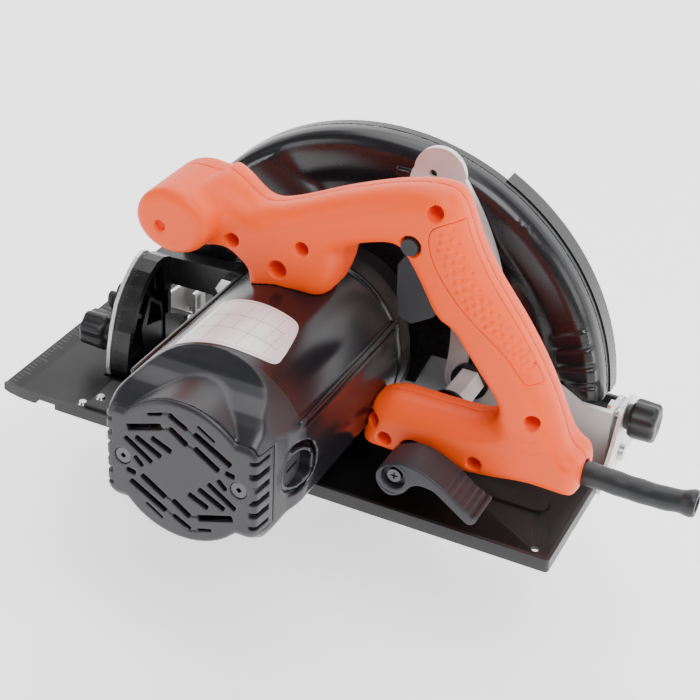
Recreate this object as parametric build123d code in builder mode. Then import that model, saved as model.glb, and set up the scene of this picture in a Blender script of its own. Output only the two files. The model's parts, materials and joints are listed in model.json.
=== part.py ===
from build123d import *
import os
from math import sin, cos, radians, pi, atan2, degrees, hypot

os.makedirs("parts", exist_ok=True)

# ---------------------------------------------------------------------------
# Circular saw, 210 mm blade.  Millimetres.  +X is the cutting direction,
# +Y is the motor side, +Z is up.  The origin is the centre of the sole.
# ---------------------------------------------------------------------------

# base
BASE_L, BASE_W = 300.0, 150.0          # sole length and width
BASE_T, RIM_H = 2.0, 7.0               # sheet thickness and height of the turned-up rims
STEP_X, DECK_Z = 111.5, 4.6            # raised front deck: where it starts and its top
LIP_X, LIP_Z = 141.0, 6.2              # start and top of the sloping front lip
SLOT_X0, SLOT_X1 = -128.0, 97.0        # blade slot
SLOT_Y0, SLOT_Y1 = -43.0, -14.0
FENCE_X, FENCE_Y = 125.0, 4.0          # rip-fence channel and its screw
FENCE_W, FENCE_H = 12.0, 3.0

# axes
TILT_Y, TILT_Z = -24.0, 8.0            # bevel axis, along X
PIV_X, PIV_Z = 60.0, 50.0              # depth pivot, along Y
ARB_X, ARB_Z = -14.0, 30.0             # arbor, along Y
MOT_X, MOT_Z = -3.0, 54.66             # motor shaft, along Y
GRD_X, GRD_Z, GRD_R = -16.0, 25.0, 123.5   # outer circle of the upper guard

# blade and gears
BLADE_R, BLADE_Y, BLADE_T, KERF = 105.0, -30.0, 1.8, 2.6
BLADE_TEETH = 24
MODULE, GEAR_TEETH, PINION_TEETH = 1.0, 43, 11
GEAR_R, PINION_R = MODULE * GEAR_TEETH / 2, MODULE * PINION_TEETH / 2

# depth setting
ARC_R = 134.5                          # radius of the depth slot about the depth pivot
STUD_A = 188.0                         # angle of the lock stud with the saw fully down
STUD_X = PIV_X + ARC_R * cos(radians(STUD_A))
STUD_Z = PIV_Z + ARC_R * sin(radians(STUD_A))
DEPTH_TRAVEL = 50.0
ARC_TOP, ARC_HOLE = (-46.8, 139.8), (-43.3, 138.8)    # rounded top of the slotted arc and the hole in it

# bevel clamps: radius and rest angle about the bevel axis
FR_R, FR_A = 55.4, 16.8
RR_R, RR_A = 22.0, 90.0
FS_Y, FS_Z = TILT_Y + FR_R * cos(radians(FR_A)), TILT_Z + FR_R * sin(radians(FR_A))
RS_Y, RS_Z = TILT_Y, TILT_Z + RR_R

# motor
MOT_R, MOT_WALL = 46.0, 3.0
MOT_Y0, MOT_Y1, CAP_Y1 = 22.0, 142.0, 155.5
BARREL_Y = 122.0                       # end of the full-size barrel
BRUSH_Y = 127.0
CAP_R, CAP_L, CAP_H = 36.0, 75.0, 50.0    # end cap: centre disc and side lobes
# rounded sections of the side lobes as (y, length, height, corner radius)
LOBES = [(BARREL_Y, 91.8, 91.8, 45.8), (128.0, 84.0, 75.0, 34.0), (MOT_Y1, 78.4, 63.0, 18.0)]
# air slots in one half of the end cap, as (x, z, x, z, width) from the motor axis; the other half mirrors them
CAP_SLOTS = [(25.3, 15.6, 10.1, 20.8, 3.2), (15.5, 25.6, 9.5, 27.5, 1.4), (4.6, 28.2, -2.8, 24.4, 2.4), (-9.1, 27.4, -16.9, 22.4, 1.2),
             (4.1, 21.3, -2.7, 16.5, 3.0), (-8.1, 22.5, -24.3, 13.1, 3.0), (-8.2, 15.2, -18.5, 8.4, 3.0), (26.9, 9.3, 14.9, 1.2, 2.6),
             (21.3, 11.3, 10.3, 5.6, 2.8), (13.2, 13.5, 5.2, 10.0, 2.8), (22.3, 0.5, 19.5, -2.5, 2.4), (26.2, -7.4, 23.4, -7.9, 2.6)]

# handle
HND_Y, HND_HALF = 45.0, 16.0
KNOB_Y1 = 79.0
KNOB_C, KNOB_A, KNOB_B = (48.0, 128.5), 19.0, 16.0


def xz(b):
    """Plane y = b whose sketch axes are X and Z; extrude runs towards -Y."""
    return Plane.XZ.offset(-b)


def yz(a):
    """Plane x = a whose sketch axes are Y and Z; extrude runs towards +X."""
    return Plane.YZ.offset(a)


def arc_pts(cx, cy, r, w, a0, a1, step=2.0):
    """Outline of an arc-shaped slot with round ends, as points."""
    pts, h = [], w / 2
    n = max(2, int(round((a1 - a0) / step)))
    for i in range(n + 1):
        t = radians(a0 + (a1 - a0) * i / n)
        pts.append((cx + (r + h) * cos(t), cy + (r + h) * sin(t)))
    ex, ey = cx + r * cos(radians(a1)), cy + r * sin(radians(a1))
    for i in range(1, 12):
        t = radians(a1 + 180 * i / 12)
        pts.append((ex + h * cos(t), ey + h * sin(t)))
    for i in range(n + 1):
        t = radians(a1 + (a0 - a1) * i / n)
        pts.append((cx + (r - h) * cos(t), cy + (r - h) * sin(t)))
    ex, ey = cx + r * cos(radians(a0)), cy + r * sin(radians(a0))
    for i in range(1, 12):
        t = radians(a0 + 180 + 180 * i / 12)
        pts.append((ex + h * cos(t), ey + h * sin(t)))
    return pts


def save(part, label):
    part.label = label
    export_step(part, f"parts/{label}.step")


# ---------------------------------------------------------------------------
# Base group
# ---------------------------------------------------------------------------
with BuildPart() as base_plate:
    # sole sheet, raised front deck and sloping lip
    with BuildSketch(xz(BASE_W / 2)):
        Polygon((-BASE_L / 2, 0), (STEP_X + 2, 0), (STEP_X + 2, FENCE_H), (LIP_X - 0.8, FENCE_H),
                (BASE_L / 2, LIP_Z - 1.8), (BASE_L / 2, LIP_Z), (LIP_X, DECK_Z), (STEP_X, DECK_Z),
                (STEP_X, BASE_T), (-BASE_L / 2, BASE_T), align=None)
    extrude(amount=BASE_W)
    # raised pad beside the front bracket
    with BuildSketch(Plane.XY.offset(BASE_T)):
        Polygon((84, 40.8), (STEP_X, 40.8), (STEP_X, 75), (84, 75), align=None)
    extrude(amount=DECK_Z - BASE_T)
    # turned-up rims on both long sides
    for b in (BASE_W / 2, -BASE_W / 2 + 2.0):
        with BuildSketch(xz(b)):
            Polygon((-BASE_L / 2, 0), (134, 0), (140.7, 0.3), (147, 1.4), (BASE_L / 2, 2.6), (BASE_L / 2, LIP_Z + 0.3),
                    (147.5, LIP_Z + 0.5), (140.5, 5.8), (131, 5.5), (116, 5.7), (100, 6.1), (70, 6.7), (40, RIM_H),
                    (-BASE_L / 2, RIM_H), align=None)
        extrude(amount=2.0)
    with BuildSketch(yz(-BASE_L / 2)):
        with Locations((0, RIM_H / 2)):
            Rectangle(BASE_W, RIM_H)
    extrude(amount=2.0)
    # two rails under the deck that guide the rip-fence bar
    with BuildSketch(xz(BASE_W / 2)):
        with Locations((FENCE_X - FENCE_W / 2 - 1, (FENCE_H + 0.2) / 2), (FENCE_X + FENCE_W / 2 + 1, (FENCE_H + 0.2) / 2)):
            Rectangle(2, FENCE_H + 0.2)
    extrude(amount=BASE_W)
    with BuildSketch(xz(BASE_W / 2 + 1)):
        with Locations((FENCE_X, FENCE_H / 2)):
            Rectangle(FENCE_W, FENCE_H)
    extrude(amount=BASE_W + 2, mode=Mode.SUBTRACT)
    # blade slot
    with BuildSketch(Plane.XY.offset(-1)):
        with Locations(((SLOT_X0 + SLOT_X1) / 2, (SLOT_Y0 + SLOT_Y1) / 2)):
            RectangleRounded(SLOT_X1 - SLOT_X0, SLOT_Y1 - SLOT_Y0, 5)
    extrude(amount=BASE_T + 2, mode=Mode.SUBTRACT)
    # embossed stiffening rib and the two corner holes
    with BuildSketch(Plane.XY.offset(BASE_T)):
        with Locations(Location((-112, 31), 0)):
            SlotOverall(46, 13)
    extrude(amount=1.3, taper=30)
    with BuildSketch(Plane.XY.offset(-1)):
        with Locations((-139.5, 63), (-139.5, -63)):
            Circle(2.0)
    extrude(amount=BASE_T + 2, mode=Mode.SUBTRACT)
    # notch round the rear bevel pin
    with BuildSketch(yz(-BASE_L / 2 - 1)):
        with Locations((TILT_Y, TILT_Z)):
            Circle(2.7)
    extrude(amount=4, mode=Mode.SUBTRACT)
    # clearance for the fence screw
    with BuildSketch(Plane.XY.offset(FENCE_H - 1)):
        with Locations((FENCE_X, FENCE_Y)):
            Circle(3.3)
    extrude(amount=4, mode=Mode.SUBTRACT)
    # welded nut over the channel
    with BuildSketch(Plane.XY.offset(DECK_Z)):
        with Locations((FENCE_X, FENCE_Y)):
            RegularPolygon(radius=5.0, side_count=6, major_radius=False)
            Circle(3.06, mode=Mode.SUBTRACT)
    extrude(amount=5)
    fillet(base_plate.edges().filter_by(Axis.Z).group_by(Axis.X)[0], 2.0)
save(base_plate.part, "base_plate")

# Zinc plate with the bevel slot, riveted to the front of the base
QUADRANT = [(-44, 2.0), (34, 2.0), (38.2, 4.5), (38.8, 9), (37.3, 20), (34.5, 30.5), (29.2, 43), (22.0, 51.4),
            (15.0, 57.0), (8.5, 60.8), (3.0, 62.0), (-2.0, 60.2), (-4.5, 55), (-5.0, 44), (-5.5, 30), (-8, 26),
            (-30, 22.5), (-44, 21.5)]
with BuildPart() as front_quadrant_plate:
    with BuildSketch(yz(109.0)):
        Polygon(*QUADRANT, align=None)
        Polygon(*arc_pts(TILT_Y, TILT_Z, FR_R, 6.4, FR_A, FR_A + 45.2), align=None, mode=Mode.SUBTRACT)
        with Locations((TILT_Y, TILT_Z)):
            Circle(2.6, mode=Mode.SUBTRACT)
    extrude(amount=2.0)
    # foot on the raised deck and two tabs on the sole
    with BuildSketch(Plane.XY.offset(DECK_Z)):
        with Locations((114.0, 1)):
            Rectangle(8, 40)
        with Locations((114.6, 15), (114.6, -13)):
            Circle(1.6, mode=Mode.SUBTRACT)
    extrude(amount=1.6)
    with BuildSketch(Plane.XY.offset(BASE_T)):
        with Locations((105.0, -11.5)):
            Rectangle(9, 7)
        with Locations((104.5, -37.0)):
            Rectangle(12, 10)
    extrude(amount=0.9)
    # folded-back ear with a window, on the blade side
    with BuildSketch(Plane.XY.offset(5.8)):
        Polygon((98.5, -44), (111, -44), (111, -42), (100.5, -42), (100.5, -33), (98.5, -33), align=None)
    extrude(amount=15.0)
    with BuildSketch(yz(97.5)):
        with Locations((-36.8, 13.4)):
            RectangleRounded(4.2, 10.5, 1.2)
    extrude(amount=4, mode=Mode.SUBTRACT)
save(front_quadrant_plate.part, "front_quadrant_plate")

# Raised strap beside the front bracket, with its two rivets
with BuildPart() as front_strap:
    with BuildSketch(Plane.XY.offset(DECK_Z)):
        Polygon((86, 45.6), (102.8, 45.6), (102.2, 66), (103.4, 72.6), (86, 72.6), align=None)
    extrude(amount=3.2, taper=12)
    with BuildSketch(Plane.XY.offset(DECK_Z)):
        Polygon((100, 66.2), (108, 66.2), (108, 72.6), (100, 72.6), align=None)
    extrude(amount=1.0)
    with BuildSketch(Plane.XY.offset(0)):
        with Locations((98.2, 63.5), (105.2, 69.5)):
            Circle(1.6)
    extrude(amount=12, mode=Mode.SUBTRACT)
save(front_strap.part, "front_strap")

# Zinc plate with the rear bevel slot, riveted outside the rear rim
with BuildPart() as rear_quadrant_plate:
    with BuildSketch(yz(-152.0)):
        Polygon((-58, 0.6), (6, 0.6), (5, 8.5), (-2.5, 12.5), (-9, 20), (-13.2, 28.5), (-16.5, 34.5), (-21, 37.6),
                (-28, 37.6), (-36, 35.4), (-44, 30.2), (-50.5, 22.4), (-53.6, 13), (-56, 9.6), align=None)
        Polygon(*arc_pts(TILT_Y, TILT_Z, RR_R, 6.6, RR_A, RR_A + 45.5), align=None, mode=Mode.SUBTRACT)
        with Locations((TILT_Y, TILT_Z)):
            Circle(2.6, mode=Mode.SUBTRACT)
        with Locations((-3, 4.4), (-49, 4.4)):
            Circle(1.6, mode=Mode.SUBTRACT)
    extrude(amount=2.0)
save(rear_quadrant_plate.part, "rear_quadrant_plate")

with BuildPart() as bracket_rivets:
    # two through the front plate's foot, two through the strap, two through the rear rim
    for cx, cy, top in ((114.6, 15, DECK_Z + 1.6), (114.6, -13, DECK_Z + 1.6), (98.2, 63.5, DECK_Z + 3.2), (105.2, 69.5, DECK_Z + 1.0)):
        with BuildSketch(Plane.XY.offset(DECK_Z)):
            with Locations((cx, cy)):
                Circle(1.5)
        extrude(amount=top - DECK_Z + 0.2)
        with BuildSketch(Plane.XY.offset(top + 0.02)):
            with Locations((cx, cy)):
                Circle(2.7)
        extrude(amount=1.2, taper=35)
    for cy in (-3, -49):
        with BuildSketch(yz(-153.2)):
            with Locations((cy, 4.4)):
                Circle(2.6)
        extrude(amount=1.18)
        with BuildSketch(yz(-152.1)):
            with Locations((cy, 4.4)):
                Circle(1.5)
        extrude(amount=2.1)
save(bracket_rivets.part, "bracket_rivets")

# Bevel pivot pins: a headed pin through each fixed plate
with BuildPart() as bevel_pivot_pins:
    with BuildSketch(yz(96.3)):
        with Locations((TILT_Y, TILT_Z)):
            Circle(4.6)
    extrude(amount=1.4)
    with BuildSketch(yz(97.6)):
        with Locations((TILT_Y, TILT_Z)):
            Circle(2.5)
    extrude(amount=14.0)
    with BuildSketch(yz(111.3)):
        with Locations((TILT_Y, TILT_Z)):
            Circle(3.2)
    extrude(amount=2.0)
    with BuildSketch(yz(-154.4)):
        with Locations((TILT_Y, TILT_Z)):
            Circle(4.4)
    extrude(amount=2.2)
    with BuildSketch(yz(-152.3)):
        with Locations((TILT_Y, TILT_Z)):
            Circle(2.5)
    extrude(amount=8.2)
    with BuildSketch(yz(-144.8)):
        with Locations((TILT_Y, TILT_Z)):
            Circle(4.6)
    extrude(amount=1.4)
save(bevel_pivot_pins.part, "bevel_pivot_pins")

with BuildPart() as fence_wing_screw:
    with BuildSketch(Plane.XY.offset(FENCE_H + 0.4)):
        with Locations((FENCE_X, FENCE_Y)):
            Circle(3.0)
    extrude(amount=22)
    with BuildSketch(Plane.XY.offset(22.5)):
        with Locations((FENCE_X, FENCE_Y)):
            Circle(5.0)
    extrude(amount=6, taper=8)
    # two rounded wings, along Y
    with BuildSketch(yz(FENCE_X - 2.0)):
        for s in (-1, 1):
            with Locations(Location((FENCE_Y + s * 4.0, 30.2), 0)):
                Ellipse(3.7, 5.6)
        with Locations((FENCE_Y, 27)):
            Rectangle(9, 5)
    extrude(amount=4.0)
save(fence_wing_screw.part, "fence_wing_screw")

# ---------------------------------------------------------------------------
# Tilting frame: front casting with the depth pivot, rear depth arc
# ---------------------------------------------------------------------------
CAST_OUT = [(-6, 3), (36, 3), (38.2, 5), (38.8, 9), (37.3, 20), (34.5, 30.5), (29.2, 43), (22.0, 51.4), (14.5, 57.2),
            (7.0, 60.4), (1.0, 60.6), (-6, 58)]
CAST_IN = [(-3, 7), (33, 7), (34.6, 9), (33.2, 19.5), (30.6, 29), (25.7, 40.4), (19.2, 48.2), (12.6, 53.4), (6.0, 56.2),
           (0.5, 56.4), (-3, 54.5)]
with BuildPart() as front_tilt_casting:
    # quadrant with a rim all round and a web towards the fixed plate
    with BuildSketch(yz(98.0)):
        Polygon(*CAST_OUT, align=None)
    extrude(amount=10.4)
    with BuildSketch(yz(97.0)):
        Polygon(*CAST_IN, align=None)
        with Locations((FS_Y, FS_Z)):
            Circle(5.6)
    extrude(amount=7.6, mode=Mode.SUBTRACT)
    # box-shaped rib and cross ribs in the pocket
    with BuildSketch(yz(99.0)):
        Polygon((13.4, 42.8), (1.6, 33.0), (-1.4, 7), (20, 7), (21.9, 27.3), align=None)
        Polygon((12.2, 39.4), (3.6, 32.0), (1.6, 22.5), (17.2, 26.6), align=None, mode=Mode.SUBTRACT)
    extrude(amount=6)
    with BuildSketch(yz(100.0)):
        with Locations(Location((23, 35), 30)):
            Rectangle(14, 2.2)
        with Locations(Location((7, 50), 80)):
            Rectangle(14, 2.2)
        with Locations(Location((27, 13), -12)):
            Rectangle(15, 2.2)
    extrude(amount=5)
    # lug round the bevel pin, rounded so that it clears the sole when tilted
    with BuildSketch(yz(98.0)):
        with Locations((TILT_Y, TILT_Z)):
            Circle(5.3)
        Polygon((TILT_Y, TILT_Z - 3.8), (0, TILT_Z - 3.8), (0, 26), (TILT_Y - 2, TILT_Z + 5), align=None)
    extrude(amount=10.4)
    # arm running back to the depth pivot
    with BuildSketch(xz(-6.5)):
        Polygon((100, 57), (108.4, 57), (108.4, 44), (100, 41), (62, 41.5), (60, 59), align=None)
        with Locations((PIV_X, PIV_Z)):
            Circle(9.2)
    extrude(amount=9.0)
    with BuildSketch(xz(0)):
        Polygon((98, 57), (108.4, 57), (108.4, 44), (98, 40), align=None)
    extrude(amount=12)
    with BuildSketch(yz(90)):
        with Locations((TILT_Y, TILT_Z)):
            Circle(2.56)
    extrude(amount=30, mode=Mode.SUBTRACT)
    with BuildSketch(xz(0)):
        with Locations((PIV_X, PIV_Z)):
            Circle(4.06)
    extrude(amount=30, mode=Mode.SUBTRACT)
    with BuildSketch(yz(96)):
        with Locations((FS_Y, FS_Z)):
            Circle(3.05)
    extrude(amount=20, mode=Mode.SUBTRACT)
    # everything stays above the sole
    with BuildSketch(Plane.XY.offset(-5)):
        Rectangle(400, 400)
    extrude(amount=8.0, mode=Mode.SUBTRACT)
save(front_tilt_casting.part, "front_tilt_casting")

with BuildPart() as depth_arc:
    with BuildSketch(xz(-13.5)):
        Polygon(*arc_pts(PIV_X, PIV_Z, ARC_R + 0.3, 29.6, 142.0, STUD_A), align=None)
        with Locations(ARC_TOP):
            Circle(13.3)
        Polygon((-70, 3.2), (-145.5, 3.2), (-147.5, 5.2), (-147.5, 35.6), (-131, 35.8), (-123, 40.2), (-84, 62), (-72, 40), align=None)
        Polygon(*arc_pts(PIV_X, PIV_Z, ARC_R, 8.5, 142.6, STUD_A), align=None, mode=Mode.SUBTRACT)
        with Locations(ARC_HOLE):
            Circle(2.2, mode=Mode.SUBTRACT)
        with Locations((0, -46.8)):
            Rectangle(600, 100, mode=Mode.SUBTRACT)
    extrude(amount=3.0)
    # rear flange, folded across the saw
    with BuildSketch(yz(-147.5)):
        Polygon((-13.5, 3.2), (TILT_Y, 3.2), (TILT_Y - 4.2, 5.6), (-36, 16), (-41, 24), (-40.5, 29), (-34, 34.6),
                (-20, 35.6), (-13.5, 35.6), align=None)
        with Locations((TILT_Y, TILT_Z)):
            Circle(2.56, mode=Mode.SUBTRACT)
        with Locations((RS_Y, RS_Z)):
            Circle(3.05, mode=Mode.SUBTRACT)
    extrude(amount=2.4)
save(depth_arc.part, "depth_arc")

with BuildPart() as bevel_studs:
    with BuildSketch(yz(102.4)):
        with Locations((FS_Y, FS_Z)):
            RegularPolygon(radius=4.5, side_count=6, major_radius=False)
    extrude(amount=2.2)
    with BuildSketch(yz(104.5)):
        with Locations((FS_Y, FS_Z)):
            Circle(3.0)
    extrude(amount=19)
    with BuildSketch(yz(-145.1)):
        with Locations((RS_Y, RS_Z)):
            RegularPolygon(radius=5, side_count=6, major_radius=False)
    extrude(amount=2.2)
    with BuildSketch(yz(-163.5)):
        with Locations((RS_Y, RS_Z)):
            Circle(3.0)
    extrude(amount=18.5)
save(bevel_studs.part, "bevel_studs")


def fluted_knob(x0, x1, cy, cz, r, flutes=7):
    """Fluted knob along X from x0 to x1, with a collar at the x0 end."""
    s = 1 if x1 > x0 else -1
    L = abs(x1 - x0)
    with BuildPart() as k:
        with BuildSketch(Plane(origin=(x0, cy, cz), x_dir=(0, s, 0), z_dir=(s, 0, 0))):
            Circle(r * 0.62)
        extrude(amount=3.0)
        with BuildSketch(Plane(origin=(x0 + s * 2.5, cy, cz), x_dir=(0, s, 0), z_dir=(s, 0, 0))):
            Circle(r)
            with PolarLocations(r + 1.2, flutes):
                Circle(2.6, mode=Mode.SUBTRACT)
        extrude(amount=L - 2.5, taper=4)
        with BuildSketch(Plane(origin=(x0 - s, cy, cz), x_dir=(0, s, 0), z_dir=(s, 0, 0))):
            Circle(3.06)
        extrude(amount=L - 3, mode=Mode.SUBTRACT)
    return k.part


front_bevel_knob = fluted_knob(111.4, 128.6, FS_Y, FS_Z, 10.6)
save(front_bevel_knob, "front_bevel_knob")
rear_bevel_knob = fluted_knob(-152.4, -168.6, RS_Y, RS_Z, 10.6)
save(rear_bevel_knob, "rear_bevel_knob")

# ---------------------------------------------------------------------------
# Upper guard: near half (motor side) and far half
# ---------------------------------------------------------------------------
GUARD_KEEP = [(-145, 34), (-48, 34), (-40, 14), (14, 14), (40, 28), (80, 30), (104, 70), (135, 70),
              (135, 165), (-145, 165)]


def ring_sector(pts, keep, y_lo, y_hi, cx=GRD_X, cz=GRD_Z):
    """Revolve a radius/y profile about a Y axis and keep what lies inside a side-view polygon."""
    with BuildPart() as rs:
        with BuildSketch(Plane(origin=(cx, 0, cz), x_dir=(1, 0, 0), z_dir=(0, 0, 1))):
            Polygon(*pts, align=None)
        revolve(axis=Axis((cx, 0, cz), (0, 1, 0)), revolution_arc=360)
        with BuildSketch(xz(y_hi)):
            Polygon(*keep, align=None)
        extrude(amount=y_hi - y_lo, mode=Mode.INTERSECT)
    return rs.part


with BuildPart() as upper_guard_near_half:
    # rim, rounded bead and recessed web
    add(ring_sector([(123.5, -31), (123.5, -23), (121.5, -19), (117, -17.1), (104, -17.1), (99, -18.5), (97, -19.7),
                     (0, -19.7), (0, -22), (98, -22), (101, -20.8), (105, -19.8), (116, -19.8), (119.3, -21.6),
                     (120.8, -24.5), (120.8, -31)], GUARD_KEEP, -40, 0))
    # boss for the depth pivot bolt
    with BuildSketch(xz(-17.1)):
        with Locations((PIV_X, PIV_Z)):
            Circle(10)
    extrude(amount=4.9)
    with BuildSketch(xz(-10)):
        with Locations((PIV_X, PIV_Z)):
            Circle(4.1)
    extrude(amount=20, mode=Mode.SUBTRACT)
    # opening for the gear housing nose
    with BuildSketch(xz(-10)):
        with Locations((ARB_X, ARB_Z)):
            Circle(16.3)
    extrude(amount=20, mode=Mode.SUBTRACT)
    # stepped grip ribs on the rear of the bead
    for a in (6, 12, 18, 24):
        with BuildSketch(Plane(origin=(GRD_X, 0, GRD_Z), x_dir=(-cos(radians(a)), 0, sin(radians(a))),
                               z_dir=(-sin(radians(a)), 0, -cos(radians(a))))):
            Polygon((101, -17.6), (101, -16.9), (121, -18.2), (121, -19.5), align=None)
        extrude(amount=1.2, both=True)
save(upper_guard_near_half.part, "upper_guard_near_half")

GUARD_SCREWS = [(-92, 112), (-36, 139), (28, 128), (72, 98), (-127, 52)]
FAR_KEEP = [(-145, 34), (80, 34), (104, 70), (135, 70), (135, 165), (-145, 165)]
with BuildPart() as upper_guard_far_half:
    add(ring_sector([(123.5, -31), (123.5, -36), (121.5, -39.5), (116, -43), (112, -44), (50, -44), (50, -41.6),
                     (112, -41.6), (115.5, -40.7), (119.5, -38), (120.8, -35.5), (120.8, -31)], FAR_KEEP, -50, 0))
    # sawdust channel, squared out towards the rear
    add(ring_sector([(124.2, -34), (124.2, -44), (112, -44), (112, -42.2), (120.8, -42.2), (120.8, -34)],
                    [(-145, 34), (-100, 34), (-60, 100), (-80, 150), (-145, 150)], -50, 0))
    with BuildSketch(xz(-38)):
        with Locations((ARB_X, ARB_Z)):
            Circle(67)
    extrude(amount=12, mode=Mode.SUBTRACT)
    for (px, pz) in GUARD_SCREWS:
        ux, uz = px - GRD_X, pz - GRD_Z
        d = hypot(ux, uz)
        with BuildSketch(xz(-38)):
            with Locations((GRD_X + ux / d * 113.5, GRD_Z + uz / d * 113.5)):
                Circle(2.0)
        extrude(amount=12, mode=Mode.SUBTRACT)
save(upper_guard_far_half.part, "upper_guard_far_half")

with BuildPart() as guard_screws:
    # rubber-tipped bump stop screws and joining screws of the two halves, seated in the rim
    for (px, pz) in GUARD_SCREWS:
        ux, uz = px - GRD_X, pz - GRD_Z
        d = hypot(ux, uz)
        qx, qz = GRD_X + ux / d * 113.5, GRD_Z + uz / d * 113.5
        with BuildSketch(xz(-41.4)):
            with Locations((qx, qz)):
                Circle(1.9)
        extrude(amount=2.6)
        with BuildSketch(xz(-44.0)):
            with Locations((qx, qz)):
                Circle(3.2)
        extrude(amount=1.6)
save(guard_screws.part, "guard_screws")

# ---------------------------------------------------------------------------
# Lower guard, with its hub, return spring and retracting lever
# ---------------------------------------------------------------------------
LG_R, LG_A0, LG_A1 = 110.5, 165.0, 350.0


def sector(r, a0, a1):
    """Side-view fan, wider than the part, that keeps angles a0..a1 about the arbor."""
    n = 12
    pts = [(ARB_X, ARB_Z)]
    for i in range(n + 1):
        t = radians(a0 + (a1 - a0) * i / n)
        pts.append((ARB_X + r * cos(t), ARB_Z + r * sin(t)))
    return pts


with BuildPart() as lower_guard:
    add(ring_sector([(LG_R, -36.5), (LG_R, -23.5), (19, -23.5), (19, -25), (LG_R - 1.6, -25), (LG_R - 1.6, -35),
                     (58, -35), (58, -36.5)], sector(150, LG_A0, LG_A1), -45, -10, ARB_X, ARB_Z))
    with BuildSketch(xz(-22.4)):
        with Locations((ARB_X, ARB_Z)):
            Circle(22)
    extrude(amount=2.6)
    with BuildSketch(xz(-20)):
        with Locations((ARB_X, ARB_Z)):
            Circle(16.06)
    extrude(amount=10, mode=Mode.SUBTRACT)
save(lower_guard.part, "lower_guard")

LEV_A = 172.0
with BuildPart() as guard_lever:
    lx, lz = ARB_X + 61.5 * cos(radians(LEV_A)), ARB_Z + 61.5 * sin(radians(LEV_A))
    tx, tz = ARB_X + 56.0 * cos(radians(LEV_A)), ARB_Z + 56.0 * sin(radians(LEV_A))
    with BuildSketch(xz(-36.5)):
        with Locations(Location((lx, lz), LEV_A)):
            RectangleRounded(9, 12, 2)
    extrude(amount=3.0)
    with BuildSketch(xz(-36.5)):
        with Locations(Location((tx, tz), LEV_A)):
            RectangleRounded(8, 12, 2.5)
    extrude(amount=17)
save(guard_lever.part, "guard_lever")

# return spring of the lower guard, coiled round the housing nose
with BuildPart() as guard_spring:
    with BuildLine() as spring_path:
        Helix(pitch=1.1, height=2.4, radius=19.6, center=(ARB_X, -18.9, ARB_Z), direction=(0, 1, 0))
    with BuildSketch(Plane(origin=spring_path.line @ 0, z_dir=spring_path.line % 0)):
        Circle(0.42)
    sweep(is_frenet=True)
save(guard_spring.part, "guard_spring")

# ---------------------------------------------------------------------------
# Gear housing and bearing bracket
# ---------------------------------------------------------------------------
GH_Y0, GH_Y1 = -19.6, 12.0
ang = degrees(atan2(MOT_Z - ARB_Z, MOT_X - ARB_X))
with BuildPart() as gear_housing:
    with BuildSketch(xz(GH_Y1)):
        with Locations((ARB_X, ARB_Z)):
            Circle(25.3)
        with Locations((MOT_X, MOT_Z)):
            Circle(34)
    extrude(amount=GH_Y1 - GH_Y0 - 4.5)
    with BuildSketch(xz(GH_Y0 + 5)):
        with Locations((ARB_X, ARB_Z)):
            Circle(18)
        with Locations((MOT_X, MOT_Z)):
            Circle(30)
    extrude(amount=5)
    # recess for the return spring
    with BuildSketch(xz(-15.6)):
        with Locations((ARB_X, ARB_Z)):
            Circle(21.5)
            Circle(16.0, mode=Mode.SUBTRACT)
    extrude(amount=6, mode=Mode.SUBTRACT)
    # nose that the lower guard turns on
    with BuildSketch(xz(GH_Y0 + 1)):
        with Locations((ARB_X, ARB_Z)):
            Circle(16.0)
    extrude(amount=6.9)
    # spindle passage, ball-bearing seat and gear room
    with BuildSketch(xz(GH_Y1 + 1)):
        with Locations((ARB_X, ARB_Z)):
            Circle(12.6)
    extrude(amount=50, mode=Mode.SUBTRACT)
    with BuildSketch(xz(GH_Y1 + 1)):
        with Locations((ARB_X, ARB_Z)):
            Circle(13.5)
    extrude(amount=GH_Y1 + 1 + 14.2, mode=Mode.SUBTRACT)
    with BuildSketch(xz(GH_Y1 + 1)):
        with Locations((ARB_X, ARB_Z)):
            Circle(23.3)
        with Locations((MOT_X, MOT_Z)):
            Circle(8.5)
    extrude(amount=GH_Y1 + 1 + 5.0, mode=Mode.SUBTRACT)
    # back of the coil spring recess round the nose is left open
save(gear_housing.part, "gear_housing")

with BuildPart() as bearing_bracket:
    with BuildSketch(xz(MOT_Y0)):
        with Locations((MOT_X, MOT_Z)):
            Circle(MOT_R)
    extrude(amount=MOT_Y0 - GH_Y1)
    # armature bearing seat and spindle bush seat
    with BuildSketch(xz(MOT_Y0 + 1)):
        with Locations((MOT_X, MOT_Z)):
            Circle(11.0)
    extrude(amount=9, mode=Mode.SUBTRACT)
    with BuildSketch(xz(MOT_Y0 + 1)):
        with Locations((MOT_X, MOT_Z)):
            Circle(6.6)
    extrude(amount=12, mode=Mode.SUBTRACT)
    with BuildSketch(xz(GH_Y1 + 8)):
        with Locations((ARB_X, ARB_Z)):
            Circle(8.0)
    extrude(amount=9, mode=Mode.SUBTRACT)
save(bearing_bracket.part, "bearing_bracket")


def ball_bearing(y0, y1, cx, cz, r_in, r_out, balls=8):
    """Two rings and a row of balls between them, as separate solids."""
    w = (r_out - r_in)
    ri, ro = r_in + w * 0.33, r_out - w * 0.33
    with BuildPart() as bb:
        with BuildSketch(xz(y1)):
            with Locations((cx, cz)):
                Circle(r_out)
                Circle(ro, mode=Mode.SUBTRACT)
        extrude(amount=y1 - y0)
        with BuildSketch(xz(y1)):
            with Locations((cx, cz)):
                Circle(ri)
                Circle(r_in, mode=Mode.SUBTRACT)
        extrude(amount=y1 - y0)
        with Locations(*[(cx + (ri + ro) / 2 * cos(2 * pi * i / balls), (y0 + y1) / 2,
                          cz + (ri + ro) / 2 * sin(2 * pi * i / balls)) for i in range(balls)]):
            Sphere((ro - ri) / 2 - 0.05)
    return bb.part


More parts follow.
